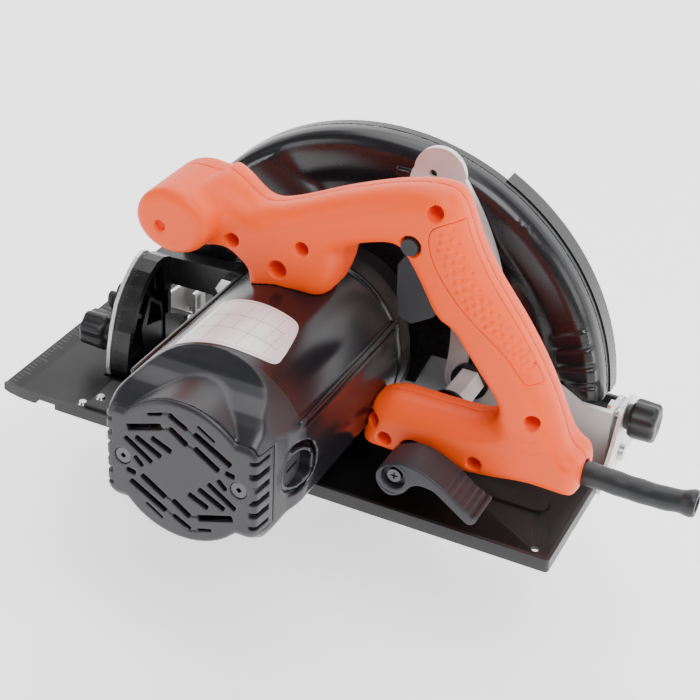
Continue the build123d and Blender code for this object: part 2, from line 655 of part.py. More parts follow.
with BuildPart() as bearings:
    # one on the spindle, two on the armature, and the bush at the end of the spindle
    add(ball_bearing(-14.1, -5.1, ARB_X, ARB_Z, 7.55, 13.45))
    add(ball_bearing(14.1, 21.9, MOT_X, MOT_Z, 5.05, 10.95))
    add(ball_bearing(144.2, 151.8, MOT_X, MOT_Z, 4.05, 9.45))
    with BuildSketch(xz(GH_Y1 + 7.5)):
        with Locations((ARB_X, ARB_Z)):
            Circle(7.95)
            Circle(6.06, mode=Mode.SUBTRACT)
    extrude(amount=8)
save(bearings.part, "bearings")

# ---------------------------------------------------------------------------
# Spindle group: spindle, gear, flanges, blade, bolt
# ---------------------------------------------------------------------------
with BuildPart() as spindle:
    for (ya, yb, r) in ((-34.0, -14.3, 8.0), (-14.3, -4.5, 7.5), (-4.5, 9.0, 9.0), (9.0, 19.2, 6.0)):
        with BuildSketch(xz(yb)):
            with Locations((ARB_X, ARB_Z)):
                Circle(r)
        extrude(amount=yb - ya)
    with BuildSketch(xz(-20)):
        with Locations((ARB_X, ARB_Z)):
            Circle(3.9)
    extrude(amount=20, mode=Mode.SUBTRACT)
save(spindle.part, "spindle")


def toothed_wheel(cx, cz, teeth, y0, y1, r_root, r_tip, w_root, w_tip, bore, phase):
    with BuildPart() as tw:
        with BuildSketch(xz(y1)):
            with Locations((cx, cz)):
                Circle(r_root)
            for i in range(teeth):
                t = radians(phase + 360.0 * i / teeth)
                ct, st = cos(t), sin(t)
                quad = [(r_root - 0.4, -w_root / 2), (r_tip, -w_tip / 2), (r_tip, w_tip / 2), (r_root - 0.4, w_root / 2)]
                Polygon(*[(cx + a * ct - b * st, cz + a * st + b * ct) for a, b in quad], align=None)
            with Locations((cx, cz)):
                Circle(bore, mode=Mode.SUBTRACT)
        extrude(amount=y1 - y0)
    return tw.part


save(toothed_wheel(ARB_X, ARB_Z, GEAR_TEETH, -3.0, 8.0, GEAR_R - 1.2, GEAR_R + 0.85, 1.75, 0.75, 9.0, ang),
     "spindle_gear")
save(toothed_wheel(MOT_X, MOT_Z, PINION_TEETH, -4.0, 10.5, PINION_R - 1.2, PINION_R + 0.85, 1.5, 0.75, 3.0,
                   ang + 180 + 180.0 / PINION_TEETH), "motor_pinion")

with BuildPart() as inner_flange:
    with BuildSketch(xz(-26.6)):
        with Locations((ARB_X, ARB_Z)):
            Circle(19)
            Circle(8.0, mode=Mode.SUBTRACT)
    extrude(amount=2.5)
    with BuildSketch(xz(-15)):
        with Locations((ARB_X, ARB_Z)):
            Circle(11.5)
            Circle(8.0, mode=Mode.SUBTRACT)
    extrude(amount=12)
save(inner_flange.part, "inner_flange")

def tip_quad(i):
    """Corners of the carbide tip on tooth i."""
    t0 = radians(360.0 * i / BLADE_TEETH)
    quad = [(BLADE_R - 7.0, 0.0), (BLADE_R, 0.0), (BLADE_R - 0.4, 0.020), (BLADE_R - 6.6, 0.022)]
    return [(ARB_X + r * cos(t0 - a), ARB_Z + r * sin(t0 - a)) for r, a in quad]


with BuildPart() as saw_blade:
    with BuildSketch(xz(BLADE_Y + BLADE_T / 2)):
        with Locations((ARB_X, ARB_Z)):
            Circle(BLADE_R - 9)
        for i in range(BLADE_TEETH):
            t0 = radians(360.0 * i / BLADE_TEETH)
            prof = [(BLADE_R - 12, -0.06), (BLADE_R - 8.5, -0.10), (BLADE_R - 3.2, -0.115), (BLADE_R - 1.3, -0.045),
                    (BLADE_R - 0.9, 0.0), (BLADE_R - 8.0, 0.012), (BLADE_R - 12.0, 0.06)]
            Polygon(*[(ARB_X + r * cos(t0 - a), ARB_Z + r * sin(t0 - a)) for r, a in prof], align=None)
        for i in range(BLADE_TEETH):
            Polygon(*tip_quad(i), align=None, mode=Mode.SUBTRACT)
        with Locations((ARB_X, ARB_Z)):
            Circle(8.0, mode=Mode.SUBTRACT)
        # expansion slots ending in round holes
        for i in range(4):
            t0 = radians(90.0 * i + 52)
            with Locations((ARB_X + 86 * cos(t0), ARB_Z + 86 * sin(t0))):
                Circle(2.2, mode=Mode.SUBTRACT)
            with Locations(Location((ARB_X + 92 * cos(t0), ARB_Z + 92 * sin(t0)), degrees(t0))):
                Rectangle(12, 1.2, mode=Mode.SUBTRACT)
    extrude(amount=BLADE_T)
save(saw_blade.part, "saw_blade")

with BuildPart() as carbide_tips:
    for i in range(BLADE_TEETH):
        with BuildSketch(xz(BLADE_Y + KERF / 2)):
            Polygon(*tip_quad(i), align=None)
        extrude(amount=KERF)
save(carbide_tips.part, "carbide_tips")

with BuildPart() as outer_flange:
    with BuildSketch(xz(-30.9)):
        with Locations((ARB_X, ARB_Z)):
            Circle(19)
            Circle(8.0, mode=Mode.SUBTRACT)
    extrude(amount=2.9, taper=20)
save(outer_flange.part, "outer_flange")

with BuildPart() as blade_bolt:
    with BuildSketch(xz(-34.1)):
        with Locations((ARB_X, ARB_Z)):
            Circle(11)
    extrude(amount=1.6)
    with BuildSketch(xz(-35.6)):
        with Locations((ARB_X, ARB_Z)):
            RegularPolygon(radius=6.5, side_count=6, major_radius=False)
    extrude(amount=5.4)
    with BuildSketch(xz(-21)):
        with Locations((ARB_X, ARB_Z)):
            Circle(3.85)
    extrude(amount=14)
save(blade_bolt.part, "blade_bolt")

# ---------------------------------------------------------------------------
# Armature group
# ---------------------------------------------------------------------------
with BuildPart() as armature_shaft:
    for (ya, yb, r) in ((-4.6, 12.0, 3.0), (12.0, 22.5, 5.0), (22.5, 142.0, 5.5), (142.0, 152.1, 4.0)):
        with BuildSketch(xz(yb)):
            with Locations((MOT_X, MOT_Z)):
                Circle(r)
        extrude(amount=yb - ya)
save(armature_shaft.part, "armature_shaft")

with BuildPart() as armature_core:
    with BuildSketch(xz(104)):
        with Locations((MOT_X, MOT_Z)):
            Circle(24)
            Circle(5.5, mode=Mode.SUBTRACT)
        with Locations((MOT_X, MOT_Z)):
            with PolarLocations(22.4, 12):
                Rectangle(5, 1.6, mode=Mode.SUBTRACT)
    extrude(amount=52)
save(armature_core.part, "armature_core")

with BuildPart() as armature_windings:
    for ya, yb in ((104.0, 114.0), (44.0, 52.0)):
        with BuildSketch(xz(yb)):
            with Locations((MOT_X, MOT_Z)):
                Circle(20)
                Circle(5.5, mode=Mode.SUBTRACT)
        extrude(amount=yb - ya)
save(armature_windings.part, "armature_windings")

with BuildPart() as commutator:
    with BuildSketch(xz(140)):
        with Locations((MOT_X, MOT_Z)):
            Circle(14)
            Circle(5.5, mode=Mode.SUBTRACT)
            with PolarLocations(13.8, 24):
                Rectangle(1.4, 0.5, mode=Mode.SUBTRACT)
    extrude(amount=20)
save(commutator.part, "commutator")

with BuildPart() as fan:
    with BuildSketch(xz(26)):
        with Locations((MOT_X, MOT_Z)):
            Circle(38)
            Circle(5.5, mode=Mode.SUBTRACT)
    extrude(amount=2.0)
    with BuildSketch(xz(37)):
        with Locations((MOT_X, MOT_Z)):
            Circle(9)
            Circle(5.5, mode=Mode.SUBTRACT)
            with PolarLocations(24, 12):
                Rectangle(26, 1.6, rotation=18)
    extrude(amount=11.5)
save(fan.part, "fan")

# ---------------------------------------------------------------------------
# Motor housing, stator, brushes and end cap
# ---------------------------------------------------------------------------
def lobe_body(trim):
    """Side lobes of the motor housing, every face moved inwards by trim."""
    with BuildPart() as lb:
        for (ya, la, ha, ra), (yb, l2, h2, r2) in zip(LOBES[:-1], LOBES[1:]):
            with BuildSketch(xz(ya)):
                with Locations((MOT_X, MOT_Z)):
                    RectangleRounded(la - 2 * trim, ha - 2 * trim, ra - trim)
            with BuildSketch(xz(yb)):
                with Locations((MOT_X, MOT_Z)):
                    RectangleRounded(l2 - 2 * trim, h2 - 2 * trim, r2 - trim)
            loft(ruled=True)
    return lb.part


with BuildPart() as motor_housing:
    # round barrel; behind it a smaller one stands out between two side lobes
    with BuildSketch(xz(BARREL_Y)):
        with Locations((MOT_X, MOT_Z)):
            Circle(MOT_R)
    extrude(amount=BARREL_Y - MOT_Y0)
    add(lobe_body(0))
    with BuildSketch(xz(MOT_Y1)):
        with Locations((MOT_X, MOT_Z)):
            Circle(CAP_R)
    extrude(amount=MOT_Y1 - BARREL_Y)
    with BuildSketch(xz(BARREL_Y)):
        with Locations((MOT_X, MOT_Z)):
            Circle(MOT_R - MOT_WALL)
    extrude(amount=110, mode=Mode.SUBTRACT)
    add(lobe_body(MOT_WALL), mode=Mode.SUBTRACT)
    with BuildSketch(xz(MOT_Y1 + 1)):
        with Locations((MOT_X, MOT_Z)):
            Circle(CAP_R - MOT_WALL)
            RectangleRounded(LOBES[2][1] - 6.6, LOBES[2][2] - 6.6, 14)
    extrude(amount=1.5, mode=Mode.SUBTRACT)
    with BuildSketch(xz(MOT_Y1 + 1)):
        with Locations((MOT_X, MOT_Z)):
            Circle(CAP_R - MOT_WALL)
    extrude(amount=MOT_Y1 + 1 - BARREL_Y, mode=Mode.SUBTRACT)
    # brush bosses, one each side
    for s in (-1, 1):
        with BuildSketch(yz(MOT_X + (40.5 if s > 0 else -48.0))):
            with Locations((BRUSH_Y, MOT_Z)):
                Circle(11.4)
        extrude(amount=7.5, mode=Mode.SUBTRACT)
        with BuildSketch(yz(MOT_X + (27 if s > 0 else -40.5))):
            with Locations((BRUSH_Y, MOT_Z)):
                Circle(10.8)
        extrude(amount=13.5)
        with BuildSketch(yz(MOT_X + (24 if s > 0 else -46.5))):
            with Locations((BRUSH_Y, MOT_Z)):
                Circle(8.6)
        extrude(amount=22.5, mode=Mode.SUBTRACT)
    # seats that hold the stator
    for y in (54, 102):
        with BuildSketch(xz(y)):
            with Locations((MOT_X, MOT_Z)):
                Circle(MOT_R - 1)
                Circle(40.6, mode=Mode.SUBTRACT)
        extrude(amount=3)
save(motor_housing.part, "motor_housing")

with BuildPart() as rating_plate:
    with BuildSketch(xz(121)):
        with Locations((MOT_X, MOT_Z)):
            Circle(MOT_R + 0.45)
            Circle(MOT_R + 0.05, mode=Mode.SUBTRACT)
        Polygon((MOT_X, MOT_Z), (MOT_X + 60, MOT_Z + 96), (MOT_X, MOT_Z + 110), (MOT_X - 60, MOT_Z + 98),
                align=None, mode=Mode.INTERSECT)
    extrude(amount=44)
save(rating_plate.part, "rating_plate")

with BuildPart() as stator:
    with BuildSketch(xz(103)):
        with Locations((MOT_X, MOT_Z)):
            Circle(40.5)
            Circle(32, mode=Mode.SUBTRACT)
        for s in (-1, 1):
            with Locations((MOT_X + s * 29.5, MOT_Z)):
                Rectangle(9, 26)
        with Locations((MOT_X, MOT_Z)):
            Circle(24.8, mode=Mode.SUBTRACT)
    extrude(amount=50)
save(stator.part, "stator")

with BuildPart() as field_windings:
    for s in (-1, 1):
        with BuildSketch(xz(112)):
            with Locations((MOT_X + s * 29.0, MOT_Z)):
                RectangleRounded(5, 40, 2)
        extrude(amount=8.9)
        with BuildSketch(xz(52.9)):
            with Locations((MOT_X + s * 29.0, MOT_Z)):
                RectangleRounded(5, 40, 2)
        extrude(amount=7)
save(field_windings.part, "field_windings")

with BuildPart() as brush_holders:
    for s in (-1, 1):
        with BuildSketch(yz(MOT_X + (15.5 if s > 0 else -35.7))):
            with Locations((BRUSH_Y, MOT_Z)):
                Rectangle(12, 11.6)
                Rectangle(9.2, 7.2, mode=Mode.SUBTRACT)
        extrude(amount=20.2)
save(brush_holders.part, "brush_holders")

with BuildPart() as carbon_brushes:
    for s in (-1, 1):
        with BuildSketch(yz(MOT_X + (14.4 if s > 0 else -27.4))):
            with Locations((BRUSH_Y, MOT_Z)):
                Rectangle(8.8, 6.8)
        extrude(amount=13)
save(carbon_brushes.part, "carbon_brushes")

with BuildPart() as brush_springs:
    for s in (-1, 1):
        with BuildLine() as bsp:
            Helix(pitch=2.0, height=6.0, radius=2.6, center=(MOT_X + s * 28.2, BRUSH_Y, MOT_Z), direction=(s, 0, 0))
        with BuildSketch(Plane(origin=bsp.line @ 0, z_dir=bsp.line % 0)):
            Circle(0.35)
        sweep(path=bsp.line, is_frenet=True)
save(brush_springs.part, "brush_springs")

with BuildPart() as brush_caps:
    for s in (-1, 1):
        with BuildSketch(yz(MOT_X + (35.9 if s > 0 else -40.1))):
            with Locations((BRUSH_Y, MOT_Z)):
                Circle(8.5)
        extrude(amount=4.2)
        with BuildSketch(yz(MOT_X + (38.6 if s > 0 else -41.1))):
            with Locations((BRUSH_Y, MOT_Z)):
                Rectangle(10, 1.6)
        extrude(amount=2.5, mode=Mode.SUBTRACT)
save(brush_caps.part, "brush_caps")

with BuildPart() as end_cap:
    with BuildSketch(xz(CAP_Y1 - 3)):
        with Locations((MOT_X, MOT_Z)):
            Circle(CAP_R)
    extrude(amount=CAP_Y1 - 3 - MOT_Y1)
    with BuildSketch(xz(MOT_Y1)):
        with Locations((MOT_X, MOT_Z)):
            RectangleRounded(*LOBES[2][1:])
    with BuildSketch(xz(CAP_Y1 - 3)):
        with Locations((MOT_X, MOT_Z)):
            RectangleRounded(CAP_L, CAP_H, 16)
    loft(ruled=True)
    with BuildSketch(xz(CAP_Y1 - 3)):
        with Locations((MOT_X, MOT_Z)):
            Circle(CAP_R)
    extrude(amount=-3, taper=30)
    with BuildSketch(xz(CAP_Y1 - 3)):
        with Locations((MOT_X, MOT_Z)):
            RectangleRounded(CAP_L, CAP_H, 16)
    extrude(amount=-3, taper=30)
    with BuildSketch(xz(CAP_Y1 - 3)):
        with Locations((MOT_X, MOT_Z)):
            Circle(CAP_R - 3)
            RectangleRounded(CAP_L - 6, CAP_H - 6, 13)
    extrude(amount=CAP_Y1 - MOT_Y1, mode=Mode.SUBTRACT)
    # bearing pot
    with BuildSketch(xz(CAP_Y1 - 1)):
        with Locations((MOT_X, MOT_Z)):
            Circle(12.5)
    extrude(amount=12)
    with BuildSketch(xz(152.4)):
        with Locations((MOT_X, MOT_Z)):
            Circle(9.5)
    extrude(amount=12, mode=Mode.SUBTRACT)
    # screw bosses
    with BuildSketch(xz(CAP_Y1 - 1)):
        with Locations((MOT_X - 29, MOT_Z + 1), (MOT_X + 29, MOT_Z - 1)):
            Circle(5.9)
    extrude(amount=CAP_Y1 - 1 - MOT_Y1)
    with BuildSketch(xz(CAP_Y1 + 1)):
        with Locations((MOT_X - 29, MOT_Z + 1), (MOT_X + 29, MOT_Z - 1)):
            Circle(4.0)
    extrude(amount=4.0, mode=Mode.SUBTRACT)
    with BuildSketch(xz(CAP_Y1 + 1)):
        with Locations((MOT_X - 29, MOT_Z + 1), (MOT_X + 29, MOT_Z - 1)):
            Circle(2.2)
    extrude(amount=30, mode=Mode.SUBTRACT)
    # air slots in the face, and horizontal ones that wrap round the sides
    with BuildSketch(xz(CAP_Y1 + 1)):
        for (x1, z1, x2, z2, w) in CAP_SLOTS:
            for s in (1, -1):
                with Locations(Location((MOT_X + s * (x1 + x2) / 2, MOT_Z + s * (z1 + z2) / 2),
                                        degrees(atan2(z2 - z1, x2 - x1)))):
                    SlotCenterToCenter(hypot(x2 - x1, z2 - z1), w)
    extrude(amount=5, mode=Mode.SUBTRACT)
    for a in (MOT_X - 50, MOT_X + 33.4):
        with BuildSketch(yz(a)):
            for k in range(6):
                with Locations((CAP_Y1 - 2, MOT_Z - 17 + 6.8 * k)):
                    SlotOverall(20.0, 2.8)
        extrude(amount=16.6, mode=Mode.SUBTRACT)
save(end_cap.part, "end_cap")

with BuildPart() as end_cap_screws:
    for px, pz in ((MOT_X - 29, MOT_Z + 1), (MOT_X + 29, MOT_Z - 1)):
        with BuildSketch(xz(CAP_Y1 - 0.6)):
            with Locations((px, pz)):
                Circle(3.8)
                RegularPolygon(radius=1.5, side_count=4, mode=Mode.SUBTRACT)
        extrude(amount=2.3)
        with BuildSketch(xz(CAP_Y1 - 2.8)):
            with Locations((px, pz)):
                Circle(2.1)
        extrude(amount=13)
save(end_cap_screws.part, "end_cap_screws")

# ---------------------------------------------------------------------------
# Handle: two moulded halves on the plane y = HND_Y
# ---------------------------------------------------------------------------
# side outline as (x, z, edge radius)
HANDLE = [(35, 146.5, 6), (28, 143.5, 6), (22.5, 139.5, 6), (16.5, 135.5, 6), (10.5, 135.5, 7), (3, 138, 7), (-8, 143, 7),
          (-17, 147.5, 7), (-28, 152.5, 7), (-40, 157.3, 7), (-51, 161.3, 7), (-62, 164.3, 7), (-71, 165.6, 7),
          (-77.5, 165.2, 7), (-82.4, 161.5, 7), (-86, 154, 7), (-88.6, 147, 7), (-92.8, 138.5, 7), (-100.2, 126.8, 7),
          (-108.5, 116.4, 7), (-116.9, 105.8, 7), (-126, 92.5, 7), (-134.1, 78.5, 7), (-139.5, 67, 7), (-143.6, 56.5, 7),
          (-146.8, 52.2, 5), (-151.5, 49.8, 3), (-153, 44, 3), (-153, 35, 3), (-150.5, 31.6, 3), (-139, 32, 3),
          (-127, 32, 3), (-108, 28.4, 3), (-88, 27, 3), (-65, 26.6, 3), (-51, 26.9, 2), (-40, 27.4, 0), (-44, 38, 0),
          (-47, 49, 0), (-50.5, 51.5, 2), (-56, 54.2, 3), (-62, 55, 3), (-71, 54.8, 3), (-86, 54.8, 3), (-99, 55, 3),
          (-107, 57.5, 3), (-111.5, 62, 3), (-112.5, 67.5, 3), (-109.5, 74, 3), (-101.8, 83, 3), (-93, 94, 3),
          (-86.5, 102.5, 3), (-78, 105.5, 2), (-69.3, 121.5, 2), (-60.5, 134.5, 2), (-56, 137, 2), (-49, 136, 3),
          (-35, 131, 3), (-30, 125, 3), (-28.5, 112, 3), (-22, 98, 2), (-8, 94, 0), (17, 90, 0), (17, 103, 2), (21, 107, 3),
          (29, 112, 3), (42, 113, 3)]
SCREWS = [(25, 118), (-11, 123), (1, 109), (-74, 157), (-129, 67), (-104, 36), (-58.5, 34.5), (-51, 42)]
TRIG = [(-60, 131.2), (-55.5, 124), (-56, 110), (-57.5, 98), (-64, 95.5), (-74, 101.5), (-79, 108), (-73, 124),
        (-68, 131.2)]
TRIG_PIN = (-65, 127)
BTN = (-64, 139)
BOOT_Z = 39.3


def inset(base, share):
    """Handle outline moved inwards by base plus a share of each corner's edge radius."""
    n, out = len(HANDLE), []
    for i in range(n):
        (ax, az, _), (bx, bz, r), (cx, cz, _) = HANDLE[i - 1], HANDLE[i], HANDLE[(i + 1) % n]
        l1, l2 = hypot(bx - ax, bz - az), hypot(cx - bx, cz - bz)
        nx = -(bz - az) / l1 - (cz - bz) / l2
        nz = (bx - ax) / l1 + (cx - bx) / l2
        m, d = hypot(nx, nz), base + share * r
        out.append((bx + nx / m * d, bz + nz / m * d))
    return out


def through(levels, base):
    """Solid through the handle outline at (y, share) levels, in rising y."""
    with BuildPart() as body:
        for (ya, sa), (yb, sb) in zip(levels[:-1], levels[1:]):
            if sa == sb:
                with BuildSketch(xz(yb)):
                    Polygon(*inset(base, sa), align=None)
                extrude(amount=yb - ya)
            else:
                with BuildSketch(xz(ya)):
                    Polygon(*inset(base, sa), align=None)
                with BuildSketch(xz(yb)):
                    Polygon(*inset(base, sb), align=None)
                loft(ruled=True)
    return body.part


def handle_half(near):
    s = 1 if near else -1
    y1 = HND_Y + s * HND_HALF
    levels = [(HND_Y, 0.0), (HND_Y + s * 8, 0.0), (HND_Y + s * 13.5, 0.32), (y1, 1.0)]
    inner = [(HND_Y, 0.0), (HND_Y + s * 7, 0.0), (HND_Y + s * 12.5, 0.45)]
    knob = [(HND_Y, 0.0), (75.0, 0.0), (KNOB_Y1, 3.6)] if near else [(29.0, 7.0), (31.5, 2.2), (37.0, 0.0), (HND_Y, 0.0)]
    if not near:
        levels.reverse()
        inner.reverse()
    with BuildPart() as outer:
        add(through(levels, 0.0))
        for (ya, ia), (yb, ib) in zip(knob[:-1], knob[1:]):
            if ia == ib:
                with BuildSketch(xz(yb)):
                    with Locations(KNOB_C):
                        Ellipse(KNOB_A - ia, KNOB_B - ia)
                extrude(amount=yb - ya)
            else:
                for y, i in ((ya, ia), (yb, ib)):
                    with BuildSketch(xz(y)):
                        with Locations(KNOB_C):
                            Ellipse(KNOB_A - i, KNOB_B - i)
                loft(ruled=True)
    with BuildPart() as hollow:
        add(through(inner, 3.0))
        if near:
            with BuildSketch(xz(KNOB_Y1 - 3.6)):
                with Locations(KNOB_C):
                    Ellipse(KNOB_A - 3, KNOB_B - 3)
            extrude(amount=KNOB_Y1 - 3.6 - HND_Y)
    with BuildPart() as posts:
        with BuildSketch(xz(HND_Y + (HND_HALF if near else 0))):
            for (px, pz) in SCREWS:
                with Locations((px, pz)):
                    Circle(4.6)
        extrude(amount=HND_HALF)
        add(outer.part, mode=Mode.INTERSECT)
    with BuildPart() as hh:
        add(outer.part)
        add(hollow.part, mode=Mode.SUBTRACT)
        add(posts.part)
        if near:
            for (px, pz) in SCREWS:
                with BuildSketch(xz(y1 + 1)):
                    with Locations((px, pz)):
                        Circle(3.6)
                extrude(amount=7, mode=Mode.SUBTRACT)
        for (px, pz) in SCREWS:
            with BuildSketch(xz(y1 + 1 if near else HND_Y + 1)):
                with Locations((px, pz)):
                    Circle(2.1)
            extrude(amount=(HND_HALF + 2) if near else 11, mode=Mode.SUBTRACT)
        if near:
            # screw well in the knob's face
            with BuildSketch(xz(KNOB_Y1 + 1)):
                with Locations((52.9, 126.1)):
                    Circle(2.9)
            extrude(amount=3.6, mode=Mode.SUBTRACT)
        # finger opening for the trigger, and the button hole
        with BuildSketch(xz(HND_Y + 7.6)):
            Polygon((-48, 132), (-48, 92), (-80, 92), (-87, 104), (-80, 124), (-70, 132.4), align=None)
        extrude(amount=15.2, mode=Mode.SUBTRACT)
        with BuildSketch(xz(HND_Y + 11)):
            with Locations(TRIG_PIN):
                Circle(2.06)
        extrude(amount=22, mode=Mode.SUBTRACT)
        if near:
            with BuildSketch(xz(y1 + 1)):
                with Locations(BTN):
                    Circle(4.35)
            extrude(amount=14, mode=Mode.SUBTRACT)
        # seat on the motor housing
        with BuildSketch(xz(90)):
            with Locations((MOT_X, MOT_Z)):
                Circle(MOT_R + 0.2)
        extrude(amount=80, mode=Mode.SUBTRACT)
        # notch round the depth stud
        with BuildSketch(xz(70)):
            with Locations((STUD_X, STUD_Z)):
                Circle(7.2)
            with Locations((STUD_X, STUD_Z - 6)):
                Rectangle(14.4, 12)
        extrude(amount=50, mode=Mode.SUBTRACT)
        # mouth of the cord boot
        with BuildSketch(yz(-160)):
            with Locations((HND_Y, BOOT_Z)):
                Circle(6.0)
        extrude(amount=22, mode=Mode.SUBTRACT)
    return hh.part


save(handle_half(True), "handle_near_half")
save(handle_half(False), "handle_far_half")

with BuildPart() as handle_screws:
    for (px, pz) in SCREWS:
        with BuildSketch(xz(HND_Y + 12.5)):
            with Locations((px, pz)):
                Circle(3.4)
                RegularPolygon(radius=1.4, side_count=4, mode=Mode.SUBTRACT)
        extrude(amount=2.4)
        with BuildSketch(xz(HND_Y + 10.2)):
            with Locations((px, pz)):
                Circle(1.95)
        extrude(amount=18)
save(handle_screws.part, "handle_screws")

with BuildPart() as trigger:
    with BuildSketch(xz(HND_Y + 7.0)):
        Polygon(*TRIG, align=None)
    extrude(amount=14.0)
    # moulded pivot pins
    with BuildSketch(xz(HND_Y + 10.8)):
        with Locations(TRIG_PIN):
            Circle(2.0)
    extrude(amount=21.6)
save(trigger.part, "trigger")

with BuildPart() as lock_off_button:
    with BuildSketch(xz(HND_Y + 16.4)):
        with Locations(BTN):
            Circle(4.0)
    extrude(amount=8)
    with BuildSketch(xz(HND_Y + 8.6)):
        with Locations(BTN):
            Circle(2.6)
    extrude(amount=1.0)
save(lock_off_button.part, "lock_off_button")

with BuildPart() as switch_block:
    with BuildSketch(xz(HND_Y + 9)):
        with Locations(Location((-100, 107), -32)):
            RectangleRounded(15, 28, 1.5)
    extrude(amount=18)
save(switch_block.part, "switch_block")

with BuildPart() as cord_clamp:
    # bar with its two screws
    with BuildSketch(yz(-133)):
        with Locations((HND_Y, BOOT_Z + 6.0)):
            Rectangle(20, 3.6)
    extrude(amount=8)
    with BuildSketch(Plane.XY.offset(BOOT_Z + 7.9)):
        for dy in (-7, 7):
            with Locations((-129, HND_Y + dy)):
                Circle(2.6)
    extrude(amount=1.8)
save(cord_clamp.part, "cord_clamp")

with BuildPart() as cord_boot:
    with BuildSketch(yz(-206)):
        with Locations((HND_Y, BOOT_Z)):
            Circle(6.8)
            Circle(3.9, mode=Mode.SUBTRACT)
    extrude(amount=2.6)
    with BuildSketch(yz(-204)):
        with Locations((HND_Y, BOOT_Z)):
            Circle(5.9)
            Circle(3.9, mode=Mode.SUBTRACT)
    extrude(amount=65)
save(cord_boot.part, "cord_boot")

# ---------------------------------------------------------------------------
# Depth lock and depth pivot hardware
# ---------------------------------------------------------------------------
with BuildPart() as depth_stud:
    with BuildSketch(xz(-16.9)):
        with Locations((STUD_X, STUD_Z)):
            RegularPolygon(radius=7.0, side_count=4, major_radius=False)
    extrude(amount=2.3)
    with BuildSketch(xz(76)):
        with Locations((STUD_X, STUD_Z)):
            Circle(4.0)
    extrude(amount=93.2)
save(depth_stud.part, "depth_stud")

with BuildPart() as depth_washers:
    # a washer on each side of the long nut, and the tube that reaches the lever
    for ya, yb, r in ((-13.1, -11.0, 10.0), (15.1, 17.0, 10.0), (17.1, 61.5, 6.0)):
        with BuildSketch(xz(yb)):
            with Locations((STUD_X, STUD_Z)):
                Circle(r)
                Circle(4.1, mode=Mode.SUBTRACT)
        extrude(amount=yb - ya)
save(depth_washers.part, "depth_washers")

with BuildPart() as depth_long_nut:
    with BuildSketch(xz(15.0)):
        with Locations((STUD_X, STUD_Z)):
            RegularPolygon(radius=7.0, side_count=6, major_radius=False)
            Circle(4.1, mode=Mode.SUBTRACT)
    extrude(amount=26.0)
save(depth_long_nut.part, "depth_long_nut")

LEVER = [(-68.3, 36.7), (-73.2, 39.2), (-79.6, 40.7), (-85.4, 39.6), (-89.8, 37.9), (-95.0, 35.4), (-100.2, 32.5),
         (-105.5, 28.0), (-110.7, 25.0), (-115.8, 23.3), (-115.9, 22.1), (-114.8, 19.6), (-112.1, 17.8), (-109.1, 19.5),
         (-103.1, 23.8), (-98.5, 27.0), (-94.0, 30.2), (-89.6, 31.0), (-86.1, 30.9), (-82.6, 29.3), (-80.6, 26.5),
         (-78.7, 23.7), (-74.5, 21.0), (-70.9, 20.5), (-67.1, 22.8), (-64.6, 26.8), (-64.3, 30.8), (-65.6, 34.1)]
LEV_Y0, LEV_Y1 = 62.0, 82.5
with BuildPart() as depth_lever:
    with BuildSketch(xz(LEV_Y1)):
        Polygon(*LEVER, align=None)
    extrude(amount=LEV_Y1 - LEV_Y0)
    with BuildSketch(xz(76.5)):
        with Locations((STUD_X, STUD_Z)):
            Circle(4.06)
    extrude(amount=20, mode=Mode.SUBTRACT)
    with BuildSketch(xz(90)):
        with Locations((STUD_X, STUD_Z)):
            Circle(1.7)
    extrude(amount=20, mode=Mode.SUBTRACT)
    with BuildSketch(xz(90)):
        with Locations((STUD_X, STUD_Z)):
            Circle(5.8)
    extrude(amount=11.5, mode=Mode.SUBTRACT)
save(depth_lever.part, "depth_lever")

with BuildPart() as depth_lever_screw:
    with BuildSketch(xz(80.8)):
        with Locations((STUD_X, STUD_Z)):
            Circle(3.4)
            Rectangle(3.6, 0.8, mode=Mode.SUBTRACT)
            Rectangle(0.8, 3.6, mode=Mode.SUBTRACT)
    extrude(amount=2.2)
    with BuildSketch(xz(79.4)):
        with Locations((STUD_X, STUD_Z)):
            Circle(3.4)
    extrude(amount=0.85)
    with BuildSketch(xz(79.0)):
        with Locations((STUD_X, STUD_Z)):
            Circle(1.6)
    extrude(amount=2.9)
save(depth_lever_screw.part, "depth_lever_screw")

with BuildPart() as depth_pivot_bolt:
    with BuildSketch(xz(-22.05)):
        with Locations((PIV_X, PIV_Z)):
            Circle(7.5)
    extrude(amount=2.2)
    with BuildSketch(xz(0.5)):
        with Locations((PIV_X, PIV_Z)):
            Circle(4.0)
    extrude(amount=23)
save(depth_pivot_bolt.part, "depth_pivot_bolt")

with BuildPart() as depth_pivot_nut:
    with BuildSketch(xz(-0.2)):
        with Locations((PIV_X, PIV_Z)):
            RegularPolygon(radius=6.5, side_count=6, major_radius=False)
            Circle(4.05, mode=Mode.SUBTRACT)
    extrude(amount=6.0)
save(depth_pivot_nut.part, "depth_pivot_nut")

print("stud", round(STUD_X, 2), round(STUD_Z, 2), "front stud", round(FS_Y, 2), round(FS_Z, 2), "gear angle", round(ang, 2))
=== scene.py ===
import bpy, bmesh, json, math
import numpy as np
from mathutils import Vector, Matrix


